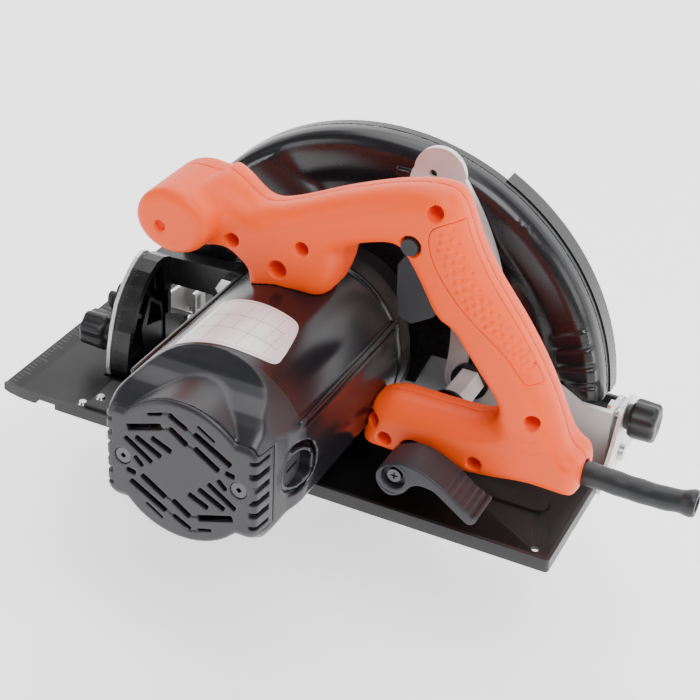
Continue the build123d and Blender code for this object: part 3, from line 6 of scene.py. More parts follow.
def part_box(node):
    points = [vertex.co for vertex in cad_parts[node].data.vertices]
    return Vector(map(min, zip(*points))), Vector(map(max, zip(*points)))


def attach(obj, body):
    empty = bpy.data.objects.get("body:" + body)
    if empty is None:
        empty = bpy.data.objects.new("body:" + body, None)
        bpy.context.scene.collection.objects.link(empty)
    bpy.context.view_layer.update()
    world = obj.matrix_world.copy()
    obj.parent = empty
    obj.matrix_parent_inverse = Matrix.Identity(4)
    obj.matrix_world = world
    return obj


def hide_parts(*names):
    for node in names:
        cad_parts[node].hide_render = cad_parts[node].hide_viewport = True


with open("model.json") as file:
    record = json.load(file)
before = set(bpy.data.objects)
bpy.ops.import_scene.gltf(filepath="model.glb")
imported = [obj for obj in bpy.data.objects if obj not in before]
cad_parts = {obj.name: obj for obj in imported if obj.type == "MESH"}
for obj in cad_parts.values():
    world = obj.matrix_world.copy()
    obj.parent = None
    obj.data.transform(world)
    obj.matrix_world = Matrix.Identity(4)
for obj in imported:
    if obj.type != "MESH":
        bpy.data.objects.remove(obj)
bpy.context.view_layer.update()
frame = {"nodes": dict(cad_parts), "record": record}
N = frame["nodes"]
F32 = np.float32
MM = 0.001


# ------------------------------------------------------------------ solids
# Shapes are written as distance functions in millimetres and turned into
# smooth closed meshes; every shape is a function of x, y, z grids.
def smin(a, b, k):
    h = np.maximum(k - np.abs(a - b), 0) / k
    return np.minimum(a, b) - h * h * k * 0.25


def smax(a, b, k):
    return -smin(-a, -b, k)


def ln(a, b):
    return np.sqrt(a * a + b * b)


def poly(P, X, Z):
    """Signed distance to a closed polygon, negative inside."""
    d = np.full(np.broadcast(X, Z).shape, 1e12, F32)
    ins = np.zeros(d.shape, bool)
    n = len(P)
    for i in range(n):
        ax, az = P[i]
        bx, bz = P[(i + 1) % n]
        ex, ez = bx - ax, bz - az
        wx, wz = X - ax, Z - az
        t = np.clip((wx * ex + wz * ez) / (ex * ex + ez * ez + 1e-12), 0, 1)
        d = np.minimum(d, (wx - ex * t) ** 2 + (wz - ez * t) ** 2)
        if az != bz:
            ins ^= ((az > Z) != (bz > Z)) & (X < (bx - ax) * (Z - az) / (bz - az) + ax)
    d = np.sqrt(d)
    return np.where(ins, -d, d).astype(F32)


def line_d(P, X, Z):
    """Distance to an open polyline."""
    d = np.full(np.broadcast(X, Z).shape, 1e12, F32)
    for (ax, az), (bx, bz) in zip(P[:-1], P[1:]):
        ex, ez = bx - ax, bz - az
        wx, wz = X - ax, Z - az
        t = np.clip((wx * ex + wz * ez) / (ex * ex + ez * ez + 1e-12), 0, 1)
        d = np.minimum(d, (wx - ex * t) ** 2 + (wz - ez * t) ** 2)
    return np.sqrt(d)


def smooth(P, n=2, keep=()):
    """Rounds a polygon's corners by cutting them; points in keep stay sharp."""
    P = [tuple(p) for p in P]
    K = [i in keep for i in range(len(P))]
    for _ in range(n):
        Q, KQ = [], []
        m = len(P)
        for i in range(m):
            a, b = P[i], P[(i + 1) % m]
            if K[i]:
                Q.append(a); KQ.append(True)
            else:
                Q.append((a[0] * .75 + b[0] * .25, a[1] * .75 + b[1] * .25)); KQ.append(False)
            if not K[(i + 1) % m]:
                Q.append((a[0] * .25 + b[0] * .75, a[1] * .25 + b[1] * .75)); KQ.append(False)
        P, K = Q, KQ
    return P


def slab(d2, y, y0, y1, r=0.0):
    """A flat shape of distance d2 swept from y0 to y1 with its edges rounded by r."""
    dy = np.abs(y - (y0 + y1) / 2) - (y1 - y0) / 2
    a, b = d2 + r, dy + r
    return np.minimum(np.maximum(a, b), 0) + ln(np.maximum(a, 0), np.maximum(b, 0)) - r


def rbox(x, y, cx, cy, hx, hy, r):
    a, b = np.abs(x - cx) - hx + r, np.abs(y - cy) - hy + r
    return np.minimum(np.maximum(a, b), 0) + ln(np.maximum(a, 0), np.maximum(b, 0)) - r


def rot2(x, z, cx, cz, deg):
    c, s = math.cos(math.radians(deg)), math.sin(math.radians(deg))
    return (x - cx) * c + (z - cz) * s, -(x - cx) * s + (z - cz) * c


def solid(name, f, lo, hi, h, body, mats, sharp=40, where=None):
    """Turns f(x, y, z) < 0 into a mesh and puts it on a body."""
    ax = [np.arange(lo[i] - 1.5 * h, hi[i] + 2.5 * h, h).astype(F32) for i in range(3)]
    x, y, z = ax[0][:, None, None], ax[1][None, :, None], ax[2][None, None, :]
    V = np.asarray(np.broadcast_to(f(x, y, z), [len(a) for a in ax]), F32)
    S = V < 0
    nx, ny, nz = [n - 1 for n in V.shape]
    c = np.zeros((nx, ny, nz), np.uint8)
    for i in (0, 1):
        for j in (0, 1):
            for k in (0, 1):
                c += S[i:nx + i, j:ny + j, k:nz + k]
    act = (c > 0) & (c < 8)
    del c
    idx = np.full(act.shape, -1, np.int32)
    ci, cj, ck = np.nonzero(act)
    idx[ci, cj, ck] = np.arange(len(ci))
    acc = np.zeros((len(ci), 3)); cnt = np.zeros(len(ci))
    co = [(i, j, k) for i in (0, 1) for j in (0, 1) for k in (0, 1)]
    val = {p: V[ci + p[0], cj + p[1], ck + p[2]].astype(float) for p in co}
    for a in co:
        for d in range(3):
            if a[d]:
                continue
            b = list(a); b[d] = 1; b = tuple(b)
            fa, fb = val[a], val[b]
            m = (fa < 0) != (fb < 0)
            t = fa[m] / (fa[m] - fb[m])
            p = np.tile(np.array(a, float), (len(t), 1)); p[:, d] += t
            acc[m] += p; cnt[m] += 1
    g = np.stack([ci, cj, ck], 1) + acc / cnt[:, None]
    # two steps onto the surface itself
    for _ in range(2):
        i0 = np.clip(np.floor(g).astype(int), 0, np.array(V.shape) - 2)
        u = g - i0
        w = {}
        val = 0; gr = np.zeros_like(g)
        for p in co:
            v = V[i0[:, 0] + p[0], i0[:, 1] + p[1], i0[:, 2] + p[2]].astype(float)
            wx = u[:, 0] if p[0] else 1 - u[:, 0]
            wy = u[:, 1] if p[1] else 1 - u[:, 1]
            wz = u[:, 2] if p[2] else 1 - u[:, 2]
            val = val + v * wx * wy * wz
            gr[:, 0] += v * wy * wz * (1 if p[0] else -1)
            gr[:, 1] += v * wx * wz * (1 if p[1] else -1)
            gr[:, 2] += v * wx * wy * (1 if p[2] else -1)
        q = (gr ** 2).sum(1)
        st = np.where(q > 1e-9, val / np.maximum(q, 1e-9), 0)
        st = np.clip(st, -1.5, 1.5)
        mv = gr * st[:, None]
        mv = np.clip(mv, -0.35, 0.35)
        g = g - mv
    base = np.array([a[0] for a in ax])
    vert = (base + g * h) * MM
    quads = []
    for d in range(3):
        e1, e2 = [(1, 2), (2, 0), (0, 1)][d]
        sl0 = [slice(None)] * 3; sl1 = [slice(None)] * 3
        sl0[d] = slice(0, -1); sl1[d] = slice(1, None)
        A, B = S[tuple(sl0)], S[tuple(sl1)]
        cross = A != B
        sub = [slice(None)] * 3
        sub[e1] = slice(1, -1); sub[e2] = slice(1, -1)
        cr = cross[tuple(sub)]
        p = np.array(np.nonzero(cr)).T
        o = np.zeros(3, int); o[e1] = 1; o[e2] = 1
        p = p + o
        u1 = np.zeros(3, int); u1[e1] = 1
        u2 = np.zeros(3, int); u2[e2] = 1
        def at(q):
            return idx[q[:, 0], q[:, 1], q[:, 2]]
        q4 = np.stack([at(p - u1 - u2), at(p - u2), at(p), at(p - u1)], 1)
        flip = ~A[p[:, 0], p[:, 1], p[:, 2]]
        q4[flip] = q4[flip][:, ::-1]
        quads.append(q4)
    quads = np.concatenate(quads)
    quads = quads[(quads >= 0).all(1)]
    me = bpy.data.meshes.new(name)
    me.vertices.add(len(vert)); me.vertices.foreach_set("co", vert.astype(F32).ravel())
    me.loops.add(len(quads) * 4); me.loops.foreach_set("vertex_index", quads.astype(np.int32).ravel())
    me.polygons.add(len(quads))
    me.polygons.foreach_set("loop_start", np.arange(0, len(quads) * 4, 4, dtype=np.int32))
    me.update(calc_edges=True)
    me.validate()
    me.shade_smooth()
    if sharp:
        me.set_sharp_from_angle(angle=math.radians(sharp))
    ob = bpy.data.objects.new(name, me)
    bpy.context.scene.collection.objects.link(ob)
    for m in (mats if isinstance(mats, (list, tuple)) else [mats]):
        me.materials.append(m)
    if where is not None:
        # pick the second material by a rule on face centres, in millimetres
        cen = np.zeros(len(me.polygons) * 3, F32); me.polygons.foreach_get("center", cen)
        cen = cen.reshape(-1, 3) / MM
        me.polygons.foreach_set("material_index", where(cen[:, 0], cen[:, 1], cen[:, 2]).astype(np.int32))
    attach(ob, body)
    return ob


# --------------------------------------------------------------- materials
def material(name, color, rough=0.5, metal=0.0, spec=0.5, coat=0.0, coat_rough=0.2, vary=0.06, scale=60.0,
             rough_var=0.12, bump=0.08, bump_scale=900.0, bump_dist=0.0002, streak=None, edge=0.0, dust=0.0):
    """A shader with mottled colour, uneven gloss and fine surface grain."""
    m = bpy.data.materials.new(name)
    m.use_nodes = True
    nt = m.node_tree
    nt.nodes.clear()
    out = nt.nodes.new("ShaderNodeOutputMaterial")
    b = nt.nodes.new("ShaderNodeBsdfPrincipled")
    nt.links.new(b.outputs[0], out.inputs[0])
    b.inputs["Metallic"].default_value = metal
    b.inputs["Specular IOR Level"].default_value = spec
    b.inputs["Coat Weight"].default_value = coat
    b.inputs["Coat Roughness"].default_value = coat_rough
    tc = nt.nodes.new("ShaderNodeTexCoord")
    mp = nt.nodes.new("ShaderNodeMapping")
    nt.links.new(tc.outputs["Object"], mp.inputs[0])
    if streak:
        mp.inputs["Scale"].default_value = streak
    n1 = nt.nodes.new("ShaderNodeTexNoise")
    n1.inputs["Scale"].default_value = scale
    n1.inputs["Detail"].default_value = 6
    nt.links.new(mp.outputs[0], n1.inputs["Vector"])
    cr = nt.nodes.new("ShaderNodeValToRGB")
    c = list(color)[:3]
    lo = [max(0, v * (1 - vary)) for v in c]
    hi = [min(1, v * (1 + vary) + vary * 0.01) for v in c]
    cr.color_ramp.elements[0].position = 0.3
    cr.color_ramp.elements[1].position = 0.7
    cr.color_ramp.elements[0].color = (*lo, 1)
    cr.color_ramp.elements[1].color = (*hi, 1)
    nt.links.new(n1.outputs["Fac"], cr.inputs[0])
    col = cr.outputs[0]
    if edge > 0:
        # convex edges painted lighter: a painted highlight along the edges
        geo = nt.nodes.new("ShaderNodeNewGeometry")
        edge_highlight_ramp = nt.nodes.new("ShaderNodeValToRGB")
        edge_highlight_ramp.color_ramp.elements[0].position = 0.52
        edge_highlight_ramp.color_ramp.elements[1].position = 0.62
        nt.links.new(geo.outputs["Pointiness"], edge_highlight_ramp.inputs[0])
        mx = nt.nodes.new("ShaderNodeMixRGB")
        mx.inputs[2].default_value = (*[min(1, v * 1.6 + 0.06) for v in c], 1)
        edge_highlight_amount = nt.nodes.new("ShaderNodeMath"); edge_highlight_amount.operation = "MULTIPLY"; edge_highlight_amount.inputs[1].default_value = edge
        nt.links.new(edge_highlight_ramp.outputs[0], edge_highlight_amount.inputs[0])
        nt.links.new(edge_highlight_amount.outputs[0], mx.inputs[0])
        nt.links.new(col, mx.inputs[1])
        col = mx.outputs[0]
    nt.links.new(col, b.inputs["Base Color"])
    n2 = nt.nodes.new("ShaderNodeTexNoise")
    n2.inputs["Scale"].default_value = scale * 2.3
    n2.inputs["Detail"].default_value = 8
    nt.links.new(mp.outputs[0], n2.inputs["Vector"])
    mr = nt.nodes.new("ShaderNodeMapRange")
    mr.inputs["To Min"].default_value = max(0.02, rough - rough_var)
    mr.inputs["To Max"].default_value = min(1, rough + rough_var)
    nt.links.new(n2.outputs["Fac"], mr.inputs["Value"])
    nt.links.new(mr.outputs[0], b.inputs["Roughness"])
    n3 = nt.nodes.new("ShaderNodeTexNoise")
    n3.inputs["Scale"].default_value = bump_scale
    n3.inputs["Detail"].default_value = 3
    nt.links.new(mp.outputs[0], n3.inputs["Vector"])
    bp = nt.nodes.new("ShaderNodeBump")
    bp.inputs["Strength"].default_value = bump
    bp.inputs["Distance"].default_value = bump_dist
    nt.links.new(n3.outputs["Fac"], bp.inputs["Height"])
    nt.links.new(bp.outputs[0], b.inputs["Normal"])
    return m


ORANGE = material("orange", (1.0, 0.082, 0.0), rough=0.45, spec=0.35, vary=0.04, scale=25, rough_var=0.07, bump=0.10, bump_scale=1500)
GLOSS = material("black_gloss", (0.007, 0.007, 0.009), rough=0.22, spec=0.5, vary=0.15, scale=30, rough_var=0.05, bump=0.05, bump_scale=1200)
CAPGREY = material("cap_grey", (0.022, 0.021, 0.025), rough=0.38, spec=0.45, vary=0.08, scale=60, rough_var=0.08, bump=0.14, bump_scale=1600)
GREY = material("grey_plastic", (0.020, 0.020, 0.024), rough=0.46, spec=0.4, vary=0.10, scale=60, rough_var=0.08, bump=0.16, bump_scale=1500)
# the rear end of the motor housing is the same black plastic as the barrel; this lighter grey is painted light for the
# light falling on that end
HOUSING_PAINTED_LIGHT = material("housing_painted_light_grey", (0.014, 0.014, 0.017), rough=0.34, spec=0.45, vary=0.10, scale=40, rough_var=0.07, bump=0.10, bump_scale=1500)
KNOBM = material("knob_black", (0.010, 0.010, 0.012), rough=0.42, spec=0.45, vary=0.12, scale=80, rough_var=0.08, bump=0.14, bump_scale=1500)
LEVER = material("lever_plastic", (0.026, 0.025, 0.030), rough=0.5, spec=0.4, vary=0.10, scale=60, rough_var=0.08, bump=0.16, bump_scale=1500)
RUBBER = material("boot_rubber", (0.020, 0.021, 0.023), rough=0.42, spec=0.4, vary=0.15, scale=50, rough_var=0.10, bump=0.12, bump_scale=1300)
GUARD = material("guard_black", (0.007, 0.007, 0.009), rough=0.28, spec=0.5, vary=0.2, scale=26, rough_var=0.07, bump=0.10, bump_scale=700, bump_dist=0.0003)
# edge=0.5 paints a highlight along the base's convex rims
BASEM = material("base_black", (0.005, 0.005, 0.006), rough=0.40, spec=0.28, vary=0.2, scale=20, rough_var=0.09, bump=0.12, bump_scale=1000, edge=0.5)
CAST = material("casting_black", (0.006, 0.006, 0.007), rough=0.32, spec=0.5, vary=0.2, scale=70, rough_var=0.10, bump=0.25, bump_scale=800, bump_dist=0.0003)
ZINC = material("zinc", (0.74, 0.73, 0.72), rough=0.42, metal=0.55, vary=0.12, scale=45, rough_var=0.12, bump=0.10, bump_scale=500, streak=(1, 1, 1))
STEEL = material("steel", (0.66, 0.66, 0.67), rough=0.25, metal=1.0, vary=0.08, scale=80, rough_var=0.10, bump=0.06, bump_scale=900)
DSTEEL = material("dark_steel", (0.09, 0.09, 0.095), rough=0.35, metal=1.0, vary=0.15, scale=80, rough_var=0.12, bump=0.1, bump_scale=900)
BLADE = material("blade_steel", (0.55, 0.55, 0.56), rough=0.30, metal=1.0, vary=0.10, scale=12, rough_var=0.10, bump=0.12, bump_scale=300, streak=(1, 40, 1))
ALU = material("guard_alu", (0.50, 0.50, 0.51), rough=0.42, metal=1.0, vary=0.08, scale=40, rough_var=0.10, bump=0.15, bump_scale=600)
CARB = material("carbide", (0.30, 0.30, 0.32), rough=0.28, metal=1.0, vary=0.1, scale=200, rough_var=0.08)
COPPER = material("copper", (0.62, 0.25, 0.12), rough=0.35, metal=1.0, vary=0.15, scale=200, rough_var=0.1)
BRASS = material("brass", (0.70, 0.50, 0.20), rough=0.35, metal=1.0, vary=0.1, scale=100, rough_var=0.1)
CORE = material("core_steel", (0.28, 0.28, 0.30), rough=0.5, metal=1.0, vary=0.15, scale=100, rough_var=0.1)
CARBON = material("carbon", (0.02, 0.02, 0.02), rough=0.55, vary=0.2, scale=200)
SILVER = material("plate_silver", (0.78, 0.77, 0.78), rough=0.38, metal=0.35, spec=0.5, vary=0.04, scale=90, rough_var=0.08, bump=0.03, bump_scale=1500)
INK = material("rule_grey", (0.26, 0.25, 0.26), rough=0.5, vary=0.15, scale=300)
WHITE = material("scale_white", (0.13, 0.13, 0.13), rough=0.5, vary=0.08, scale=300)
FAINT = material("scale_faint", (0.045, 0.045, 0.047), rough=0.5, vary=0.1, scale=300)
DARK = material("recess_black", (0.006, 0.006, 0.007), rough=0.6, vary=0.2, scale=100)

by_slot = {"black_base_paint": BASEM, "zinc_plate": ZINC, "bright_steel": STEEL, "dark_steel": DSTEEL, "grey_plastic": GREY,
           "dark_grey_plastic": GREY, "black_casting": CAST, "black_guard_paint": GUARD, "spring_steel": STEEL,
           "bearing_steel": STEEL, "black_gloss_plastic": GLOSS, "plate_silver": SILVER, "core_steel": CORE,
           "copper_wire": COPPER, "brass_parts": BRASS, "carbon": CARBON, "orange_plastic": ORANGE, "black_rubber": RUBBER,
           "guard_aluminium": ALU, "blade_steel": BLADE, "carbide": CARB}
for sp in frame["record"]["subparts"]:
    o = N[sp["node"]]
    o.data.materials.clear()
    o.data.materials.append(by_slot[sp["material_slot"]])
N["end_cap_screws"].data.materials[0] = DSTEEL
N["depth_lever_screw"].data.materials[0] = DSTEEL
N["depth_long_nut"].data.materials[0] = ZINC


def stand(piece, node):
    """Hides the node that a detailed piece stands for."""
    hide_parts(node)


# ------------------------------------------------------------------ handle
MX, MZ = -3.0, 54.66                 # motor axis
AX, AZ = -14.0, 30.0                 # arbor
SX, SZ = [(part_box("depth_lever_screw")[0][i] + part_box("depth_lever_screw")[1][i]) / 2 / MM for i in (0, 2)]   # depth stud
H_OUT = [(35, 146.5), (28, 143.5), (22.5, 139.5), (16.5, 135.5), (10.5, 135.5), (3, 138), (-8, 143), (-17, 147.5), (-28, 152.5),
         (-40, 157.3), (-51, 161.3), (-62, 164.3), (-71, 165.6), (-77.5, 165.2), (-82.4, 161.5), (-86, 154), (-88.6, 147),
         (-92.8, 138.5), (-100.2, 126.8), (-108.5, 116.4), (-116.9, 105.8), (-126, 92.5), (-134.1, 78.5), (-139.5, 67),
         (-143.6, 56.5), (-146.8, 52.2), (-151.5, 49.8), (-153, 44), (-153, 35), (-150.5, 31.6), (-139, 32), (-127, 32),
         (-108, 28.4), (-88, 27), (-65, 26.6), (-51, 26.9), (-40, 27.4)]
H_IN = [(-44, 38), (-47, 49), (-50.5, 51.5), (-56, 54.2), (-62, 55), (-71, 54.8), (-86, 54.8), (-99, 55), (-107, 57.5),
        (-111.5, 62), (-112.5, 67.5), (-109.5, 74), (-101.8, 83), (-93, 94), (-86.5, 102.5), (-78, 105.5), (-69.3, 121.5),
        (-60.5, 134.5), (-56, 137), (-49, 136), (-35, 131), (-30, 125), (-28.5, 112), (-22, 98), (-8, 94), (17, 90),
        (17, 103), (21, 107), (29, 112), (42, 113)]
PO = smooth(H_OUT + [(-30, -60), (170, -60), (170, 190), (62, 153)], 2)
PI = smooth(H_IN + [(120, 113), (120, -60), (-36, -60)], 2)
GRIP = smooth([(-71.5, 147.5), (-75.2, 133.5), (-87.0, 118.2), (-99, 108.3), (-112.5, 98.6), (-121.5, 87.5), (-124, 84.5), (-133, 86),
               (-128.5, 97), (-115, 114.5), (-103.5, 130), (-96, 144), (-91, 153.5), (-86, 155), (-77, 153)], 2)
PANEL_LINE = [(-77.5, 149), (-84, 137), (-94, 122.5), (-104, 112), (-114.5, 101.5), (-122.5, 91.5)]
SCREWS = [(25, 118, 3.5), (-11, 123, 3.5), (1, 109, 4.5), (-74, 157, 3.7), (-129, 67, 3.7), (-104, 36, 3.6), (-58.5, 34.5, 3.6), (-51, 42, 3.6)]
TS = [(-46, 133), (-46, 92), (-80, 92), (-87, 104), (-80, 124), (-70, 133)]


def house2d(x, z):
    """Section of the round motor barrel with its flat sides."""
    dx, dz = x - MX, z - MZ
    return smin(ln(dx, dz) - 46.0, rbox(dx, dz, 0, 0, 44.0, 21.0, 2.5), 1.2)


def handle_f(x, y, z):
    rO = 7.0 + 6.0 * np.clip((z - 44) / 22, 0, 1) + 0 * x
    rI = 5.5 + 9.0 * np.clip((64 - z) / 9, 0, 1) + 0 * x
    rI = rI + 6.0 * np.clip((x + 34) / 6, 0, 1) * np.clip((2 - x) / 12, 0, 1) * np.clip((z - 80) / 6, 0, 1) * np.clip((134 - z) / 10, 0, 1)
    dO, dI = poly(PO, x, z), -poly(PI, x, z)
    f = smax(slab(dO, y, 29.0, 61.0, rO), slab(dI, y, 29.0, 61.0, rI), 2.0)
    f = smax(f, (x - 42 + (z - 113) * 7 / 33.5) * 0.979, 2.0)
    # knob: an oval post whose near end is rounded and whose far end is domed
    u, v = (x - 48) / 19.0, (z - 128.5) / 16.0
    k = ln(u, v) + 1e-6
    e = (k - 1) * k / (ln(u / 19.0, v / 16.0) + 1e-6)
    e = np.where(k < 0.2, -13.0, e)
    kn = np.maximum(slab(e, y, 29, 95, 10.0), slab(e, y, 13, 79.0, 5.5))
    f = smin(f, kn, 9.0)
    f = smax(f, 29.0 - y, 0.8)
    # collar round the cord boot
    f = smin(f, slab(ln(y - 45, z - 39.3) - 8.3, x, -150.5, -136, 1.6), 4.0)
    return f


def handle_cut(f, x, y, z):
    c = np.maximum(poly(TS, x, z), np.abs(y - 45) - 7.7)
    f = smax(f, -c, 0.8)
    f = smax(f, -np.maximum(ln(x + 64, z - 139) - 5.2, 59.2 - y), 0.8)
    f = np.maximum(f, -np.maximum(ln(x + 64, z - 139) - 4.5, 48.4 - y))
    for px, pz, r in SCREWS:
        f = smax(f, -np.maximum(ln(x - px, z - pz) - r, 49.4 - y), 0.7)
    f = smax(f, -np.maximum(ln(x - 52.9, z - 126.1) - 2.9, 75.6 - y), 0.6)
    f = np.maximum(f, 0.25 - house2d(x, z))
    f = smax(f, -np.minimum(ln(x - SX, z - SZ) - 7.2, rbox(x, z, SX, SZ - 8, 7.2, 8, 0.5)), 0.6)
    f = np.maximum(f, -np.maximum(ln(y - 45, z - 39.3) - 6.5, x + 138))
    # wavy finger grooves on the heel of the grip
    for i, (gx, gz) in enumerate([(-140, 60), (-143, 54.5)]):
        f = smax(f, -(np.sqrt(line_d([(gx + 2, gz + 3), (gx + 12, gz - 3), (gx + 24, gz - 1.5)], x, z) ** 2 + np.clip(61.0 - y, 0, 99) ** 2) - 0.8), 0.6)
    return f


def near_f(x, y, z):
    f = handle_cut(handle_f(x, y, z), x, y, z)
    f = np.maximum(f, 45.18 - y)
    return np.maximum(f, -np.maximum(poly(GRIP, x, z) - 0.12, 50.4 - y))


def far_f(x, y, z):
    return np.maximum(handle_cut(handle_f(x, y, z), x, y, z), y - 44.82)


solid("handle_near_shell", near_f, (-153, 45, 26.5), (67, 79, 166), 0.75, "saw_body", ORANGE, sharp=32)
solid("handle_far_shell", far_f, (-153, 29, 26.5), (67, 45, 166), 0.85, "saw_body", ORANGE, sharp=32)

# textured panel let into the grip
DOTS = []
for i in range(21):
    t = i / 20 * (len(PANEL_LINE) - 1)
    k = min(int(t), len(PANEL_LINE) - 2)
    (ax, az), (bx, bz) = PANEL_LINE[k], PANEL_LINE[k + 1]
    L = math.hypot(bx - ax, bz - az)
    cx0, cz0 = ax + (bx - ax) * (t - k), az + (bz - az) * (t - k)
    wide = 4.8 - 3.0 * i / 20
    for j in (-1.0, 0.0, 1.0):
        off = j * wide + (wide * 0.45 if i % 2 else 0)
        DOTS.append((cx0 - (bz - az) / L * off, cz0 + (bx - ax) / L * off))


IN = poly(GRIP, np.array([d[0] for d in DOTS], F32), np.array([d[1] for d in DOTS], F32))
DOTS = [d for d, v in zip(DOTS, IN) if v < -2.2]


def grip_f(x, y, z):
    f = np.maximum(handle_f(x, y, z), poly(GRIP, x, z) + 0.08)
    f = np.maximum(f, 50.6 - y)
    near = np.full(np.broadcast(x, z).shape, 9.0, F32)
    for (px, pz) in DOTS:
        near = np.minimum(near, ln(x - px, z - pz))
    dent = 0.75 * np.clip(1 - (near / 1.35) ** 2, 0, 1)
    return f + dent


solid("grip_panel", grip_f, (-131, 50, 83), (-70, 61, 156), 0.38, "saw_body", ORANGE, sharp=50)
stand(bpy.data.objects["handle_near_shell"], "handle_near_half")
stand(bpy.data.objects["handle_far_shell"], "handle_far_half")


# screws that join the halves, deep in their holes
def screws_f(x, y, z):
    f = np.full(np.broadcast(x, y, z).shape, 9.0, F32)
    for px, pz, _ in SCREWS:
        q = ln(x - px, z - pz)
        h = slab(q - 3.05, y, 46.8, 49.0, 0.5)
        h = np.maximum(h, -np.maximum(np.minimum(np.maximum(np.abs(x - px) - 0.4, np.abs(z - pz) - 1.7), np.maximum(np.abs(z - pz) - 0.4, np.abs(x - px) - 1.7)), 48.2 - y))
        f = np.minimum(f, np.minimum(h, np.maximum(q - 1.6, np.maximum(38.0 - y, y - 47.5))))
    return f


# the heads are steel, given the dark steel finish as painted shade: they stand in for the shade deep in the holes
stand(solid("handle_screw_heads", screws_f, (-133, 38, 30), (29, 49, 161), 0.42, "saw_body", DSTEEL, sharp=34), "handle_screws")

# ----------------------------------------------------------- motor housing
ROOF = ([20, 119, 122, 124, 126, 128, 133, 138, 142, 147, 155.5], [80, 60, 46.0, 41.6, 38.8, 37.2, 34.6, 33.0, 31.6, 28.6, 22.6])
SIDE = ([20, 118, 124, 133, 142, 155.5], [60, 47.0, 44.0, 41.0, 39.2, 37.6])


def body_sect(x, y, z):
    """Outside of the motor housing and the end cap, without its ends."""
    dx, dz = np.abs(x - MX), np.abs(z - MZ)
    h = np.interp(y, *ROOF).astype(F32)
    s = np.interp(y, *SIDE).astype(F32)
    cr = np.interp(y, [118, 130, 142, 155.5], [24, 14, 8, 5.5]).astype(F32)
    a, b = dx - s + cr, dz - h + cr
    lobe = np.minimum(np.maximum(a, b), 0) + ln(np.maximum(a, 0), np.maximum(b, 0)) - cr
    f = smax(house2d(x, z), lobe, 1.2)
    return smin(f, np.maximum(ln(dx, dz) - 35.9, 116 - y), 0.9)


def roof_part(y, z):
    """Negative where the housing's roof and floor reach forward over the end cap."""
    return np.maximum(20.5 - np.abs(z - MZ), y - 153.4)


def housing_f(x, y, z):
    b = body_sect(x, y, z)
    dx, dz = x - MX, z - MZ
    # round boss of the brush cap, one each side
    rb = ln(y - 127, dz)
    f = smax(b, -np.maximum(rb - 13.6, 41.0 - np.abs(dx)), 0.8)
    f = smin(f, slab(rb - 12.6, np.abs(dx), 27, 40.8, 0.8), 0.8)
    f = smax(f, -np.maximum(np.abs(rb - 10.9) - 0.45, 40.0 - np.abs(dx)), 0.3)
    f = smax(f, -np.maximum(rb - 8.7, 30 - np.abs(dx)), 0.5)
    # parting bead along each side
    f = smin(f, np.maximum(ln(np.abs(dx) - 42.6, dz - 21.9) - 1.3, y - 125), 0.8)
    f = np.maximum(f, -np.maximum(np.abs(np.abs(dx) * 0.25 + dz - 30.2) - 0.3, np.maximum(40.5 - np.abs(dx), y - 122)))
    # flange ring where it meets the gear case
    f = smin(f, slab(house2d(x, z) - 0.0, y, 22.0, 24.6, 0.8), 0.6)
    f = smax(f, -(np.sqrt((house2d(x, z)) ** 2 + (y - 25.4) ** 2) - 0.7), 0.5)
    f = np.maximum(f, -(b + 3.2))
    # boss tubes stay solid round the brush holders
    f = np.minimum(f, np.maximum(np.maximum(rb - 10.4, 8.8 - rb), np.maximum(b, 27 - np.abs(dx))))
    return np.maximum(np.maximum(f, 22.15 - y), np.minimum(y - 141.85, roof_part(y, z) + 0.12))


# faces behind y = 121.5 take the lighter grey: painted light on the rear end of the housing
solid("motor_shell", housing_f, (-49.5, 22, 8), (43.5, 153.5, 101.5), 0.8, "saw_body", [GLOSS, HOUSING_PAINTED_LIGHT], sharp=34,
      where=lambda x, y, z: (y > 121.5) & (np.abs(x - MX) < 47))
stand(bpy.data.objects["motor_shell"], "motor_housing")

CAP_SLOTS = [(25.3, 15.6, 10.1, 20.8, 3.2), (15.5, 25.6, 9.5, 27.5, 1.4), (4.6, 28.2, -2.8, 24.4, 2.4), (-9.1, 27.4, -16.9, 22.4, 1.2),
             (4.1, 21.3, -2.7, 16.5, 3.0), (-8.1, 22.5, -24.3, 13.1, 3.0), (-8.2, 15.2, -18.5, 8.4, 3.0), (26.9, 9.3, 14.9, 1.2, 2.6),
             (21.3, 11.3, 10.3, 5.6, 2.8), (13.2, 13.5, 5.2, 10.0, 2.8), (22.3, 0.5, 19.5, -2.5, 2.4), (26.2, -7.4, 23.4, -7.9, 2.6)]
CAP_LINES = [[(11.5, 19.4), (4.1, 22.0), (-2.7, 16.6), (-8.2, 14.6)], [(10.5, 27.6), (4.6, 29.6), (-2.8, 24.6), (-8.1, 21.6)]]


